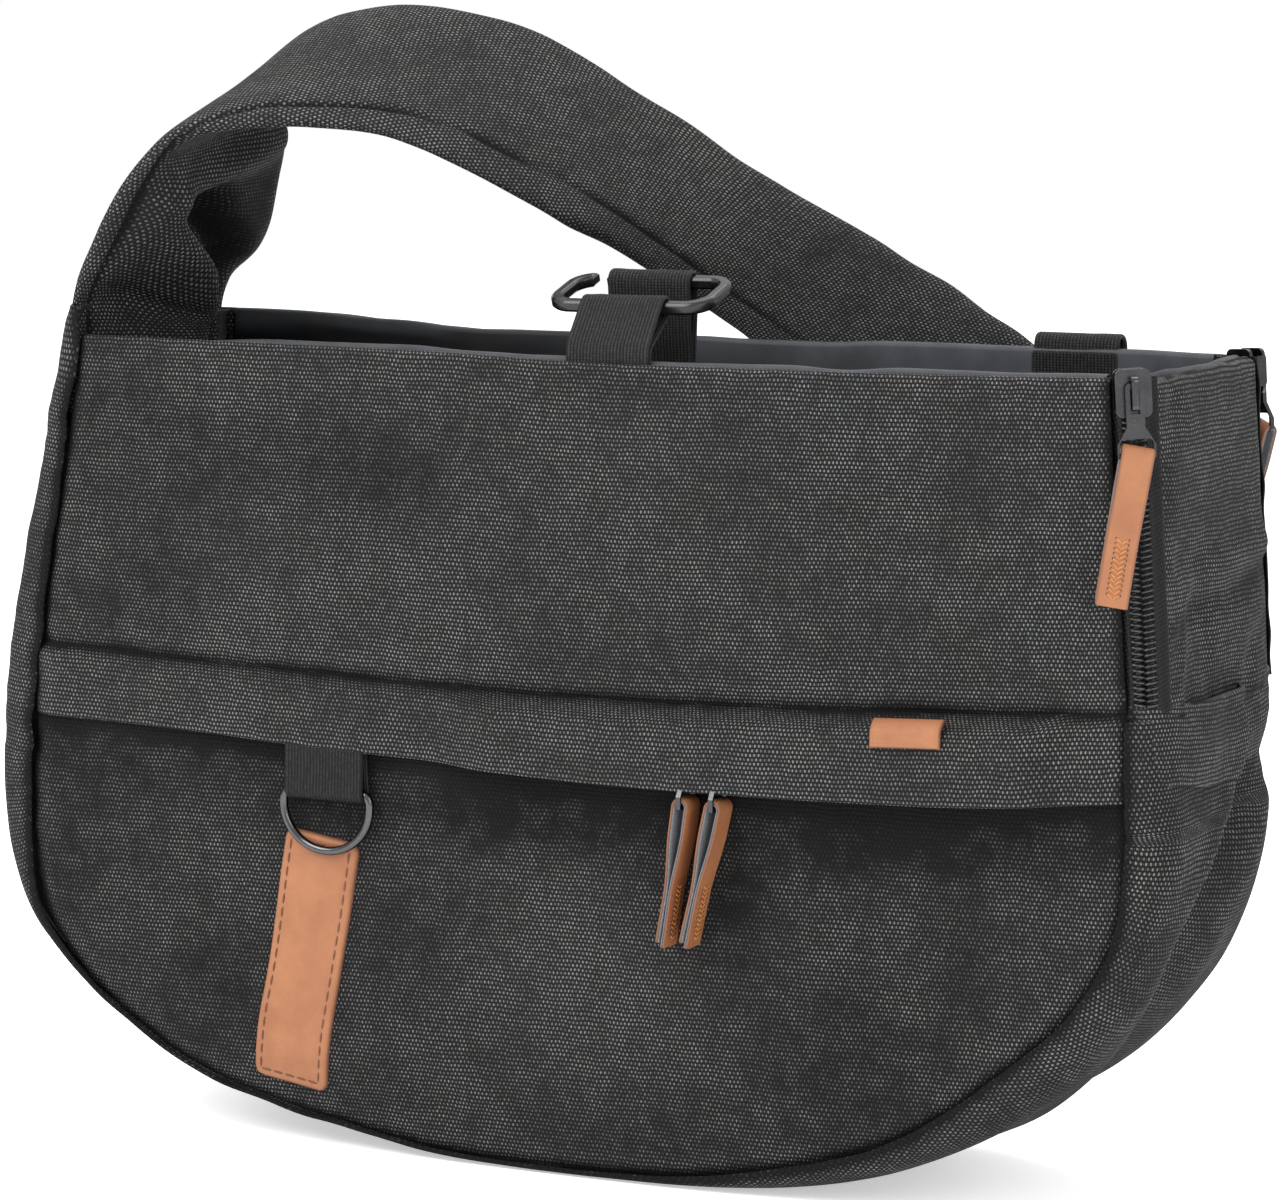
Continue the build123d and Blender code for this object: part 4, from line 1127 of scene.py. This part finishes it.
def make_flap():
    """The padded drop-down flap: canvas rolled round all its free edges, and its lining."""
    foot, top = FLAP_FOOT + 0.4, HEIGHT - 1.0
    v = np.linspace(0, 1, 92)[:, None]
    u = np.linspace(-1, 1, 84)[None, :]
    z = foot + (top - foot) * v + 0 * u
    z = z + smooth(v, 0.8, 1) * (1.2 - 2.0 * (u * 0.5 + 0.5)) * -1
    y = FLAP_HALF * (u + 0 * v) * (1 - 0.012 * np.sin(5 * v * math.pi))
    edge = np.minimum(FLAP_HALF - np.abs(y), (top - z) * 1.2)
    crumple = sampled(FLAP_FIELD, y + 45, z - 140, 2.4) * smooth(edge, 0, 9)
    crease = 1.5 * bump(z - 0.10 * y, 181, 4.5) - 1.3 * bump(z - 0.14 * y, 172, 4.0)
    crease = crease * smooth(y, -44, -8) * smooth(edge, 0, 8)
    belly = 1.9 * bump(z, 160, 16) * smooth(y, -20, 30)
    out = 0.3 + 0.8 * crumple + crease + belly * smooth(edge, 0, 10) - 1.6 * np.exp(-edge / 1.4)
    outer = np.stack([flap_x(z, out), y, z], -1)
    # Paler rolled edges; painted shade in the lower crease and a painted highlight on the upper one; a
    # painted shadow at the foot, under the band.
    wear_and_shade = 0.30 * bump(edge, 0.8, 1.4) - 0.25 * bump(z - 0.14 * y, 172, 3.0)
    wear_and_shade = wear_and_shade + 0.2 * bump(z - 0.10 * y, 181, 3)
    wear_and_shade = wear_and_shade - 0.5 * (1 - smooth(z, foot, foot + 3))
    piece = cloth_piece("flap_canvas", outer, 2.6, CANVAS_CLOTH, np.stack([y, z], -1), wear_and_shade, turn=-1)
    attach(piece, "side_flap", "canvas", "side_flap", "side_flap_foam")
    z2 = foot + 1 + (HEIGHT - 0.4 - foot - 1) * v + 0 * u
    y2 = (FLAP_HALF - 1.6) * u + 0 * v
    z2 = z2 + smooth(v, 0.8, 1) * 0.6 * ripple(y2, 0 * y2, 12, 83)
    behind = np.stack([np.interp(y2[i], y[i], out[i]) for i in range(len(y2))]) - 3.1
    inset = np.minimum(-3.2 + 0.4 * ripple(y2, z2, 15, 84), behind)
    inner = np.stack([flap_x(z2, inset), y2, z2], -1)
    lining = cloth_piece("flap_inside", inner, 0.6, LINING_CLOTH, np.stack([y2, z2], -1), turn=1)
    attach(lining, "side_flap", "lining", "side_flap_lining")


# ---------------------------------------------------------------- zips
ZIP_TURN = math.radians(28.0)
ZIP_LENGTH = 92.0
STRIP_HALF = 6.2
COIL_PITCH = 1.55
PULL_EYE_UP, PULL_EYE_OUT = 71.5, 5.6


def side_zip_frame(side):
    """(origin, across towards the flap, up the zip, outwards) of a side zip. side is -1 at the front."""
    lean = math.atan((HALF_MID - HALF_TOP) / (HEIGHT - Z_MID))
    up = np.array([-math.sin(lean), 0, math.cos(lean)])
    across = np.array([math.cos(ZIP_TURN), -side * math.sin(ZIP_TURN), 0])
    across = unit(across - up * (across @ up))
    outward = np.cross(across, up) if side < 0 else np.cross(up, across)
    share = (FLAP_FOOT - Z_MID) / (HEIGHT - Z_MID)
    start = np.array([HALF_MID + (HALF_TOP - HALF_MID) * share - 11.0, side * (BACK - 0.6), FLAP_FOOT])
    return start + across * STRIP_HALF, across, up, outward


def in_frame(place, across, along, out):
    """Points from a zip's own coordinates."""
    origin, a, b, c = place
    across, along, out = np.broadcast_arrays(across, along, out)
    return origin + across[..., None] * a + along[..., None] * b + out[..., None] * c


POCKET_PLACE = (
    np.array([0.0, low("pocket_zip_upper_tape")[1] + 0.25, 128.0]),
    np.array([0.0, 0.0, -1.0]), np.array([1.0, 0.0, 0.0]), np.array([0.0, -1.0, 0.0]),
)


def coil_half(place, side, start, end, parting=0.0, quality=10):
    """One helical half of a chain, meshed with the other but for the last teeth, which part above."""
    turns = int((end - start) / COIL_PITCH)
    t = np.linspace(0, turns, turns * quality)
    along = start + t * COIL_PITCH
    angle = 2 * math.pi * t
    along = along + (0.25 * COIL_PITCH if side > 0 else -0.25 * COIL_PITCH)
    middle = 1.65 + parting * smooth(along, ZIP_LENGTH - 8, ZIP_LENGTH)
    across = side * (middle - 1.6 * np.cos(angle))
    out = 1.35 + 1.0 * np.sin(angle)
    line = in_frame(place, across, along, out)
    return rod(line, 0.33, 5)


def tape_half(name, place, side, start, end, reach, seed, tuck=0.0):
    """One half of a tape, from the teeth out to reach, rippled along its free edge."""
    along = np.linspace(start, end, max(int((end - start) / 1.2), 30))[:, None]
    u = np.linspace(0, 1, 12)[None, :]
    across = side * (0.9 + (reach - 0.9) * u + 0 * along)
    out = 0.25 + 0.45 * ripple(along, 0 * along, 7, seed) * smooth(u, 0.3, 1)
    out = out + 0.2 * bump(u, 0.42, 0.06) - tuck * smooth(u, 0.35, 1.0)
    points = in_frame(place, across, along, out)
    wear_and_shade = 0.5 * bump(u, 0.5, 0.12) + 0.6 * bump(u, 1.0, 0.1) + 0 * along
    uv = np.stack([across, along + 0 * across], -1)
    return cloth_piece(name, points, 0.5, TAPE_CLOTH, uv, wear_and_shade)


def make_side_zips():
    """Both side zips, each with a body half and a flap half."""
    for label, side in (("front", -1), ("rear", 1)):
        place = side_zip_frame(side)
        for owner, way, body, start in (("body", -1, "bag_body", 0.0), ("flap", 1, "side_flap", 2.0)):
            tuck = 2.4 if body == "bag_body" else 0.4
            name = f"zip_{label}_{owner}"
            seed = 91 + side + way
            tape = tape_half(name + "_tape", place, way, start, ZIP_LENGTH, STRIP_HALF + 0.6, seed, tuck)
            attach(tape, body, "zip_tape", f"side_zip_{label}_{owner}_tape")
            teeth = joined(name + "_coil", [coil_half(place, way, start + 1, ZIP_LENGTH - 1, 1.4)], COIL)
            attach(teeth, body, "zip_coil", f"side_zip_{label}_{owner}_coil")


def make_pocket_zip():
    """The pocket zip under the welt."""
    for label, way in (("upper", -1), ("lower", 1)):
        reach = 13.0 if way < 0 else STRIP_HALF + 1.5
        tape = tape_half(f"zip_pocket_{label}_tape", POCKET_PLACE, way, -150, 150, reach, 97 + way)
        attach(tape, "bag_body", "zip_tape", f"pocket_zip_{label}_tape")
        teeth = coil_half(POCKET_PLACE, way, -145, 145, quality=8)
        piece = joined(f"zip_pocket_{label}_coil", [teeth], COIL)
        attach(piece, "bag_body", "zip_coil", f"pocket_zip_{label}_coil")


# ---------------------------------------------------------------- leather
TAB_HALF, TAB_LENGTH, TAB_SEWN = 4.2, 40.5, 20.0
TAB_BORE, TAB_LEATHER, TAB_GRAIN = 1.35, 1.25, 0.72
TAB_LEAN = {"side_front": -13.0, "side_rear": 22.0, "pocket_left": 8.0, "pocket_right": 13.0}
TAB_CURL = {"side_front": 3.0, "side_rear": 0.3, "pocket_left": -0.4, "pocket_right": 0.4}


def leaned(vector, axis, degrees):
    """A vector turned about an axis."""
    return np.array(Matrix.Rotation(math.radians(degrees), 3, Vector(axis)) @ Vector(vector))


def tab_frame(prefix):
    """(eye, along its width, down its length, thickness way) of a tab, which hangs a little out of line."""
    a, b = low(prefix + "_tab"), high(prefix + "_tab")
    centre = (a + b) / 2
    if prefix.startswith("pocket"):
        eye = np.array([centre[0], centre[1], b[2] - TAB_BORE - TAB_LEATHER])
        width_way, lean = np.array([0.0, 1.0, 0.0]), TAB_LEAN[prefix]
        return eye, width_way, leaned((0, 0, -1), width_way, lean), leaned((1, 0, 0), width_way, lean)
    side = -1 if prefix.endswith("front") else 1
    origin, across, up, outward = side_zip_frame(side)
    eye = origin + up * PULL_EYE_UP + outward * PULL_EYE_OUT
    lean = TAB_LEAN[prefix]
    return eye, leaned(across, outward, lean), leaned(-up, outward, lean), outward


def tab_section(shift, spread):
    """Middle line of the folded strip in (down, thickness): up one layer, round the eye, down the other."""
    flat = TAB_LEATHER / 2 + 0.02
    ring = TAB_BORE + TAB_LEATHER / 2
    rows = []
    for down in np.linspace(TAB_LENGTH, 0, 46):
        open_share = smooth(TAB_LENGTH - TAB_SEWN - down, -6, 14)
        rows.append((down, flat + (ring - flat) * open_share))
    for angle in np.linspace(0, math.pi, 16)[1:-1]:
        rows.append((-ring * math.sin(angle), ring * math.cos(angle)))
    for down in np.linspace(0, TAB_LENGTH - shift, 46):
        open_share = smooth(TAB_LENGTH - TAB_SEWN - down, -6, 14)
        rows.append((down, -(flat + (ring - flat) * open_share) - spread * smooth(down, 16, TAB_LENGTH)))
    return np.array(rows)


def tab_stitches(prefix, spread):
    """The zigzag seam at a tab's end, on both faces, and dark discs of painted shade in the holes its
    stitches start from.
    """
    eye, width_way, down_way, out_way = tab_frame(prefix)
    stitches, hole_shades = [], []
    for down in np.arange(TAB_LENGTH - TAB_SEWN + 2, TAB_LENGTH - 2, 1.35):
        for sign in (-1, 1):
            face = sign * (TAB_LEATHER + 0.16) + TAB_CURL[prefix] * (down / TAB_LENGTH) ** 2
            face = face - (spread * smooth(down, 16, TAB_LENGTH) if sign < 0 else 0)
            for start, way in ((-1.7, 1), (1.7, -1)):
                thread = []
                for step, rise, across in ((0, 0, 0), (0.62, 0.12, 1.0), (1.3, 0, 1.7)):
                    point = eye + down_way * (down + step) + out_way * (face + sign * rise)
                    thread.append(point + width_way * (start + way * across))
                stitches.append(rod(thread, 0.2, 5))
                hole_shade = [thread[0] + out_way * sign * depth for depth in (-0.25, 0.02)]
                hole_shades.append(rod(hole_shade, 0.34, 7))
    seam = joined(prefix + "_tab_stitches", stitches, TAB_THREAD)
    return seam, joined(prefix + "_tab_hole_shade", hole_shades, HOLE_SHADE)


def make_tab(prefix):
    """A leather pull tab: one strip folded through the metal pull, grain side out, grey flesh side in."""
    eye, width_way, down_way, out_way = tab_frame(prefix)
    spread = 0.5 if prefix.startswith("pocket") else 0.0
    rows = tab_section(1.2, spread)
    rows[:, 1] += TAB_CURL[prefix] * (rows[:, 0] / TAB_LENGTH) ** 2
    tangent = unit(np.gradient(rows, axis=0))
    normal = np.stack([tangent[:, 1], -tangent[:, 0]], -1)
    u = np.linspace(-1, 1, 15)
    wear_and_shade = 0.5 * smooth(np.abs(u), 0.86, 1.0)[None, :] + 0 * rows[:, :1]
    facing = np.sign(np.cross(-down_way, width_way) @ out_way)
    skins = []
    for label, face, thick, material in (
        ("grain", TAB_LEATHER / 2, TAB_GRAIN, TAN),
        ("suede", TAB_LEATHER / 2 - TAB_GRAIN, TAB_LEATHER - TAB_GRAIN, SUEDE),
    ):
        line = rows + normal * face
        grid = (eye + line[:, None, 0:1] * down_way + line[:, None, 1:2] * out_way
                + ((TAB_HALF - 0.1) * u)[:, None] * width_way)
        skins.append(cloth_piece(f"{prefix}_tab_{label}", grid, thick, material, None, wear_and_shade, facing))
    for piece in (*skins, *tab_stitches(prefix, spread)):
        attach(piece, prefix + "_tab", "leather")
    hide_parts(prefix + "_tab")


def on_pocket(x, z, lift):
    """Points on the pocket panel's face, lifted off it."""
    x, z = np.atleast_1d(np.asarray(x, float)), np.atleast_1d(np.asarray(z, float))
    return np.stack([x, FRONT - pocket_out(x, z) - lift, z], -1)


def patch_point(u, v, lift):
    """A point of the patch: u across its width and v down its length, in millimetres."""
    x = PATCH_TOP[0] + u * math.cos(PATCH_TILT) - v * math.sin(-PATCH_TILT)
    z = PATCH_TOP[1] + u * math.sin(PATCH_TILT) - v * math.cos(PATCH_TILT)
    return on_pocket(x, z, lift)


def make_patch():
    """The long leather patch with a running stitch all round."""
    half, length = PATCH_SIZE[0] / 2, PATCH_SIZE[1]
    corner = 3.2
    rows, columns = 90, 36
    v = np.linspace(0, 1, rows)[:, None]
    u = np.linspace(-1, 1, columns)[None, :]
    down = length * v
    near = np.minimum(down, length - down)
    pull = np.where(near < corner, corner - np.sqrt(np.clip(corner**2 - (corner - near) ** 2, 0, None)), 0)
    width = half - pull
    across = width * u
    edge = np.minimum(width - np.abs(across), near)
    lift = 0.35 + 1.25 * np.sqrt(np.clip(edge, 0, 1.1) / 1.1) - 0.28 * bump(edge, 2.6, 0.5)
    flat = patch_point(across.ravel(), (down + 0 * u).ravel(), lift.ravel()).reshape(rows, columns, 3)
    wear_and_shade = 0.9 * (1 - smooth(edge, 0.0, 0.7)) + 0.12 * bump(edge, 2.6, 0.7)
    piece = cloth_piece("patch_leather", flat, 0.9, TAN, None, wear_and_shade, turn=1)
    stitches = []
    inset, step = 2.6, 4.1
    side, foot = half - inset, length - inset
    ring = [(-side, inset), (-side, foot), (side, foot), (side, inset)]
    for (u0, v0), (u1, v1) in zip(ring, ring[1:] + ring[:1]):
        run = math.hypot(u1 - u0, v1 - v0)
        count = round(run / step)
        for i in range(count):
            a, b = (i + 0.12) / count, (i + 0.88) / count
            t = np.linspace(a, b, 5)
            rise = 1.15 + 0.35 * np.sin(np.linspace(0, math.pi, 5))
            stitches.append(rod(patch_point(u0 + (u1 - u0) * t, v0 + (v1 - v0) * t, rise), 0.3, 5))
    seam = joined("patch_stitches", stitches, DARK_THREAD)
    attach(piece, "bag_body", "leather", "leather_patch")
    attach(seam, "bag_body", "leather")


def make_label():
    """Small plain label folded out of the welt's seam."""
    a, b = low("leather_label"), high("leather_label")
    v = np.linspace(0, 1, 20)[:, None]
    u = np.linspace(0, 1, 36)[None, :]
    x = a[0] + (b[0] - a[0]) * u + 0 * v
    z = SEAM_HEIGHT(x) - 0.2 - (b[2] - a[2]) * v
    edge = np.minimum(np.minimum(u, 1 - u) * (b[0] - a[0]), (1 - v) * (b[2] - a[2]))
    out = (welt_stand(x) - 1.2) * WELT_SHARE(SEAM_HEIGHT(x) - z + 2.2) + 2.3
    out = out + 0.7 * np.sqrt(np.clip(edge, 0, 0.8) / 0.8)
    points = np.stack([x, FRONT - out, z], -1)
    wear_and_shade = 0.8 * (1 - smooth(edge, 0, 0.6)) + 0.25 * bump(edge, 1.2, 0.25)
    piece = cloth_piece("label_leather", points, 0.9, TAN, None, wear_and_shade, turn=1)
    attach(piece, "bag_body", "leather", "leather_label")


# ---------------------------------------------------------------- webbing and hardware
def webbing_strip(name, line, width_way, width, thickness, replaced, seed, shade=0.0):
    """A strip of webbing along a line of points, slightly uneven, with pale selvedges, darker by shade."""
    line = np.asarray(line, float)
    keys = path_length(line)
    at = np.linspace(0, keys[-1], max(int(keys[-1] / 0.9), 24))
    line = np.stack([np.interp(at, keys, c) for c in line.T], -1)
    for _ in range(3):
        line[1:-1] = (line[:-2] + 2 * line[1:-1] + line[2:]) / 4
    u = np.linspace(-1, 1, 27)
    points = line[:, None] + (u[None, :] * width / 2)[..., None] * np.asarray(width_way, float)
    rise = thickness / 2 + 0.10 * ripple(at[:, None], u[None, :] * 20, 6, seed)
    points = points + grid_normals(points) * rise[..., None]
    uv = np.stack(np.broadcast_arrays(u * width / 2, at[:, None]), -1)
    wear_and_shade = 0.25 * smooth(np.abs(u), 0.9, 1.0)[None, :] - shade + 0 * at[:, None]
    piece = cloth_piece(name, points, thickness, WEBBING_CLOTH, uv, wear_and_shade)
    attach(piece, "bag_body", "webbing", replaced)


def loop_line(bar, radius, foot, away, count=30):
    """Line in (y, z): from a foot up one side of a bar, round it, and back down the other side."""
    bar, foot, away = np.array(bar, float), np.array(foot, float), np.array(away, float)
    way = unit(bar - foot)
    left = np.array([-way[1], way[0]])
    start = math.atan2(*(-left)[::-1])
    angle = np.linspace(start, start + math.pi, count)[:, None]
    arc = bar + radius * np.concatenate([np.cos(angle), np.sin(angle)], 1)
    return np.array([foot - left * away, *arc, foot + left * away])


def make_ring_webbing():
    """The webbing that holds the D-ring: round its bar and up behind the welt."""
    x = (low("d_ring_webbing")[0] + high("d_ring_webbing")[0]) / 2
    ring = (low("d_ring")[1] + high("d_ring")[1]) / 2
    bar = high("d_ring")[2] - 1.25
    radius = 1.25 + 0.3 + 0.6
    line = [(x, ring - 1.5, 121.0), (x, ring - 1.6, bar + 6)]
    for angle in np.linspace(math.pi, 2 * math.pi, 17):
        line.append((x, ring + radius * math.cos(angle), bar + radius * math.sin(angle)))
    line += [(x, ring + 1.3, bar + 6), (x, ring + 1.2, 121.0)]
    # The last argument is painted shade, darkening the ring webbing as it lies under the welt.
    webbing_strip("ring_webbing", line, (1, 0, 0), 2 * WEBBING_HALF, 1.1, "d_ring_webbing", 101, 0.4)


def make_leash():
    """Keeper loop at the front edge, the leash over the mouth, and its anchor over the back edge."""
    way = unit(HOOK_REAR - HOOK_FRONT)
    middle = (HOOK_FRONT + HOOK_REAR) / 2
    front, rear = middle - HOOK_REACH * way, middle + HOOK_REACH * way
    foot, round_bar = FRONT + CANVAS + 2.3, 2.95
    keeper = [(foot + 0.75, HEIGHT - 15), (foot + 0.75, HEIGHT + 1)]
    keeper += list(loop_line(front, round_bar, (foot, HEIGHT + 2.5), 0.8))
    keeper += [(foot - 0.75, HEIGHT + 1), (foot - 0.75, HEIGHT - 15)]
    line = [(HOOK_X, y, z) for y, z in keeper]
    webbing_strip("keeper_webbing", line, (1, 0, 0), 2 * WEBBING_HALF, 1.2, "leash_keeper_loop", 103)
    down = [(LEASH_X, y, z) for y, z in loop_line(rear, round_bar, LEASH_FOOT, 0.8)]
    line = down + list(through([down[-1]] + LEASH_ROUTE, 60)[1:])
    webbing_strip("leash_webbing", line, (1, 0, 0), 2 * WEBBING_HALF, 1.2, "safety_leash", 105)
    a, b = low("leash_anchor"), high("leash_anchor")
    x = (a[0] + b[0]) / 2
    over = [
        (x, a[1] + 0.6, a[2]), (x, a[1] + 0.6, b[2] - 1), (x, a[1] + 1.0, b[2] + 1.4),
        (x, a[1] + 2.8, b[2] + 2.6), (x, b[1] - 2.8, b[2] + 2.4), (x, b[1] - 0.8, b[2] + 0.6),
        (x, b[1] - 0.5, b[2] - 2), (x, b[1] - 0.5, 226),
    ]
    webbing_strip("anchor_webbing", over, (-1, 0, 0), b[0] - a[0], 1.2, "leash_anchor", 107)


def dress_cad():
    """Better materials and softened edges for the CAD's own metal pieces."""
    looks = {"leash_hook": HOOK_ENAMEL, "d_ring": RING_METAL, "base_board": BOARD}
    looks["pocket_zip_stops"] = ZIP_METAL
    for prefix in TAB_LEAN:
        looks[prefix + "_slider"] = ZIP_METAL
        looks[prefix + "_pull"] = ZIP_METAL
    for name, material in looks.items():
        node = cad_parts[name]
        node.data.materials.clear()
        node.data.materials.append(material)
        weld = node.modifiers.new("weld", "WELD")
        weld.merge_threshold = 0.00002
        if name != "d_ring":
            edge = node.modifiers.new("edges", "BEVEL")
            edge.width = 0.00035 if name == "leash_hook" else 0.0002
            edge.segments = 2
            edge.limit_method = "ANGLE"
            edge.angle_limit = math.radians(35)


# ---------------------------------------------------------------- strap
# Along the strap: the seam's distance round from its front edge
SEAM_SIDE = table((0, -6.5), (60, -6.5), (92, -3.0), (112, 4.5), (140, 9.0), (500, 9.0))
# Over the height of its left leg: the pinched fold's depth and place across it, and the hollow behind
FOLD_DEPTH = table((205, 12), (236, 16), (254, 16), (264, 13), (274, 9), (284, 4), (295, 0))
FOLD_PLACE = table(
    (205, 0.12), (236, 0.12), (254, 0.12), (262, -0.04), (269, -0.3), (276, -0.52), (284, -0.62),
    (300, -0.62),
)
HOLLOW_DEPTH = table((205, 4), (236, 6), (255, 10), (270, 12), (282, 9), (292, 3), (303, 0))


def strap_section():
    """One ring round the strap: (across -1 to 1, through -1 to 1, millimetres round from the front edge)."""
    angle = np.linspace(0, 2 * math.pi, 2001)[:-1]
    c, s = -np.cos(angle), np.sin(angle)
    w, t = np.sign(c) * np.abs(c) ** 0.6, np.sign(s) * np.abs(s) ** 0.6
    length = path_length(np.stack([w * 42, t * 4], -1))
    total = length[-1]
    near = np.arange(0, 12, 0.75)
    wanted = np.concatenate([near, np.linspace(12, total - 12, 62), total - near[:0:-1]])
    round_from_edge = np.where(wanted < total / 2, wanted, wanted - total)
    return np.interp(wanted, length, w), np.interp(wanted, length, t), round_from_edge


def strap_lines(rows):
    """Along the strap: (middle, way across, way through, half width, distance from its left end)."""
    front_line, back_line = (through(line, rows) for line in zip(*STRAP_STATIONS))
    middle = (front_line + back_line) / 2
    across = unit(back_line - front_line)
    run = unit(np.gradient(middle, axis=0))
    normal = unit(np.cross(run, across))
    if normal[0][0] > 0:
        normal = -normal
    half = np.linalg.norm(back_line - front_line, axis=1)[:, None] / 2
    return middle, across, normal, half, path_length(middle)[:, None]


def leg_folds(on_leg, z, w, t):
    """Folds of the strap's left leg: (how deep they sink it, painted shade in them, painted highlight along
    the crest).
    """
    beyond = w - FOLD_PLACE(z)
    crest = FOLD_DEPTH(z) * bump(beyond, 0, np.where(beyond < 0, 0.55, 0.17)) * smooth(w, -1.0, -0.7)
    below_roll = 1 - smooth(z - 8 * w, 276, 286)
    hollow = HOLLOW_DEPTH(z) * bump(beyond, 0.48, 0.3) * below_roll * np.where(t < 0, 1.0, 0.3)
    roll = 4.5 * bump(z - 8 * w, 287, 6) * smooth(w, -0.9, -0.5) * (1 - smooth(w, 0.75, 1.0))
    roll = roll + 2.2 * bump(z + 26 * w, 283, 5) * smooth(w, 0.1, 0.4) * (1 - smooth(w, 0.8, 1.0)) * (t < 0)
    dent = 4.0 * bump(z, 249, 7) * bump(w, -0.55, 0.3)
    shade = on_leg * smooth(beyond, 0.12, 0.3) * (1 - smooth(w, 0.8, 0.97)) * (t < 0) * below_roll
    return on_leg * (crest - hollow + roll - dent), shade, on_leg * bump(beyond, 0.03, 0.05)


def make_strap():
    """The padded shoulder strap: two faces sewn by the front edge, pinched into a fold at its left end."""
    middle, across, normal, half, along = strap_lines(340)
    w, t, rim = strap_section()
    z = middle[:, 2:3]
    tail = smooth(along, along[-1] * 0.60, along[-1] * 0.74)
    thick = (3.7 + 0.5 * smooth(z, 240, 280)) * (1 - 0.25 * tail)
    w, t, rim = w[None, :] + 0 * along, t[None, :] + 0 * along, rim[None, :] + 0 * along
    edge_gap = (1 - np.abs(w)) * half
    pucker = 0.5 * ripple(along, w * 3, 9, 111) * np.exp(-edge_gap / 9)
    wave = 0.6 * ripple(along, w * 30, 32, 112) + 0.3 * ripple(along, w * 30, 12, 113)
    height = t * thick + (pucker + wave) * np.sign(t) * smooth(np.abs(t), 0.1, 0.6)
    seam_gap = np.abs(rim - SEAM_SIDE(along))
    groove = np.exp(-((seam_gap / 1.1) ** 2))
    height = height - 1.3 * groove * np.sign(t)
    on_leg = 1 - smooth(middle[:, :1], -125, -95)
    sink, shade, crease = leg_folds(on_leg, z, w, t)
    height = height - sink
    edge_wave = 1.0 * ripple(along, 0 * along, 40, 114) + 0.5 * ripple(along, 0 * along, 14, 115)
    width = half * w + edge_wave * np.abs(w) ** 6
    points = middle[:, None] + across[:, None] * width[..., None] + normal[:, None] * height[..., None]
    # Painted shade in the seam groove and in the fold, a painted highlight along the fold's crest, paler
    # near the edges.
    wear_and_shade = -0.85 * groove + 0.2 * np.exp(-edge_gap / 2.5) - 0.75 * shade + 0.25 * crease
    around = path_length(points[200])
    around = np.append(around, around[-1] + 0.75)
    uv = np.stack(np.meshgrid(around, along[:, 0]), -1)
    piece = tube_piece("strap_canvas", points, CANVAS_CLOTH, wear_and_shade, uv)
    layers = ("outer_face", "padding", "inner_face")
    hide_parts(*[f"strap_{part}{layer}" for part in ("", "tail_") for layer in layers])
    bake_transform(piece)


# ---------------------------------------------------------------- studio
def make_floor():
    """Pale floor that gives off a little light, so that it is as white as in the photograph."""
    n = Nodes("pale_floor")
    grain = n.noise(n.place(), 3.0, 4.0)
    colour = n.mix(n.step(grain, 0.2, 0.8), grey(0.97), grey(0.985))
    n.finish(Base_Color=colour, Roughness=n.step(grain, 0.2, 0.8, 0.7, 0.8),
             Emission_Color=(1, 1, 1, 1), Emission_Strength=0.45)
    bpy.ops.mesh.primitive_plane_add(size=8.0, location=(0, 0, -0.0005))
    floor = bpy.context.object
    floor.name = "floor"
    floor.data.materials.append(n.material)


def make_lights():
    """White world and three soft lights."""
    world = bpy.data.worlds.new("studio")
    world.use_nodes = True
    world.node_tree.nodes["Background"].inputs[0].default_value = (1, 1, 1, 1)
    world.node_tree.nodes["Background"].inputs[1].default_value = 1.0
    bpy.context.scene.world = world
    bpy.context.scene.view_settings.view_transform = "Standard"
    for name, place, size, power in (
        ("key", (-0.55, -1.1, 1.35), 1.1, 26),
        ("fill", (1.25, -0.9, 0.8), 1.0, 10),
        ("top", (0.1, 0.5, 1.6), 1.2, 16),
    ):
        light = bpy.data.lights.new(name, "AREA")
        light.size, light.energy = size, power
        lamp = bpy.data.objects.new(name, light)
        lamp.location = place
        aim = Vector((0, 0, 0.15)) - Vector(place)
        lamp.rotation_euler = aim.to_track_quat("-Z", "Y").to_euler()
        bpy.context.scene.collection.objects.link(lamp)


def make_camera():
    """The photograph's view."""
    azimuth, elevation, distance = math.radians(26.66), math.radians(6.87), 1.3779
    level = math.cos(elevation)
    back = Vector((math.sin(azimuth) * level, -math.cos(azimuth) * level, math.sin(elevation)))
    camera = bpy.data.cameras.new("camera")
    camera.lens, camera.sensor_width = 132.4, 36.0
    eye = bpy.data.objects.new("camera", camera)
    eye.location = Vector((0.00027, 0, 0.1615)) + back * distance
    eye.rotation_euler = back.to_track_quat("Z", "Y").to_euler()
    bpy.context.scene.collection.objects.link(eye)
    bpy.context.scene.camera = eye


make_gusset()
make_band()
make_upper_panel()
make_pocket_panel()
make_pocket_wall()
make_welt()
make_front_lining()
make_back()
make_back_lining()
make_base_pad()
make_flap()
make_side_zips()
make_pocket_zip()
for tab in TAB_LEAN:
    make_tab(tab)
make_patch()
make_label()
make_ring_webbing()
make_leash()
dress_cad()
make_strap()
make_floor()
make_lights()
make_camera()
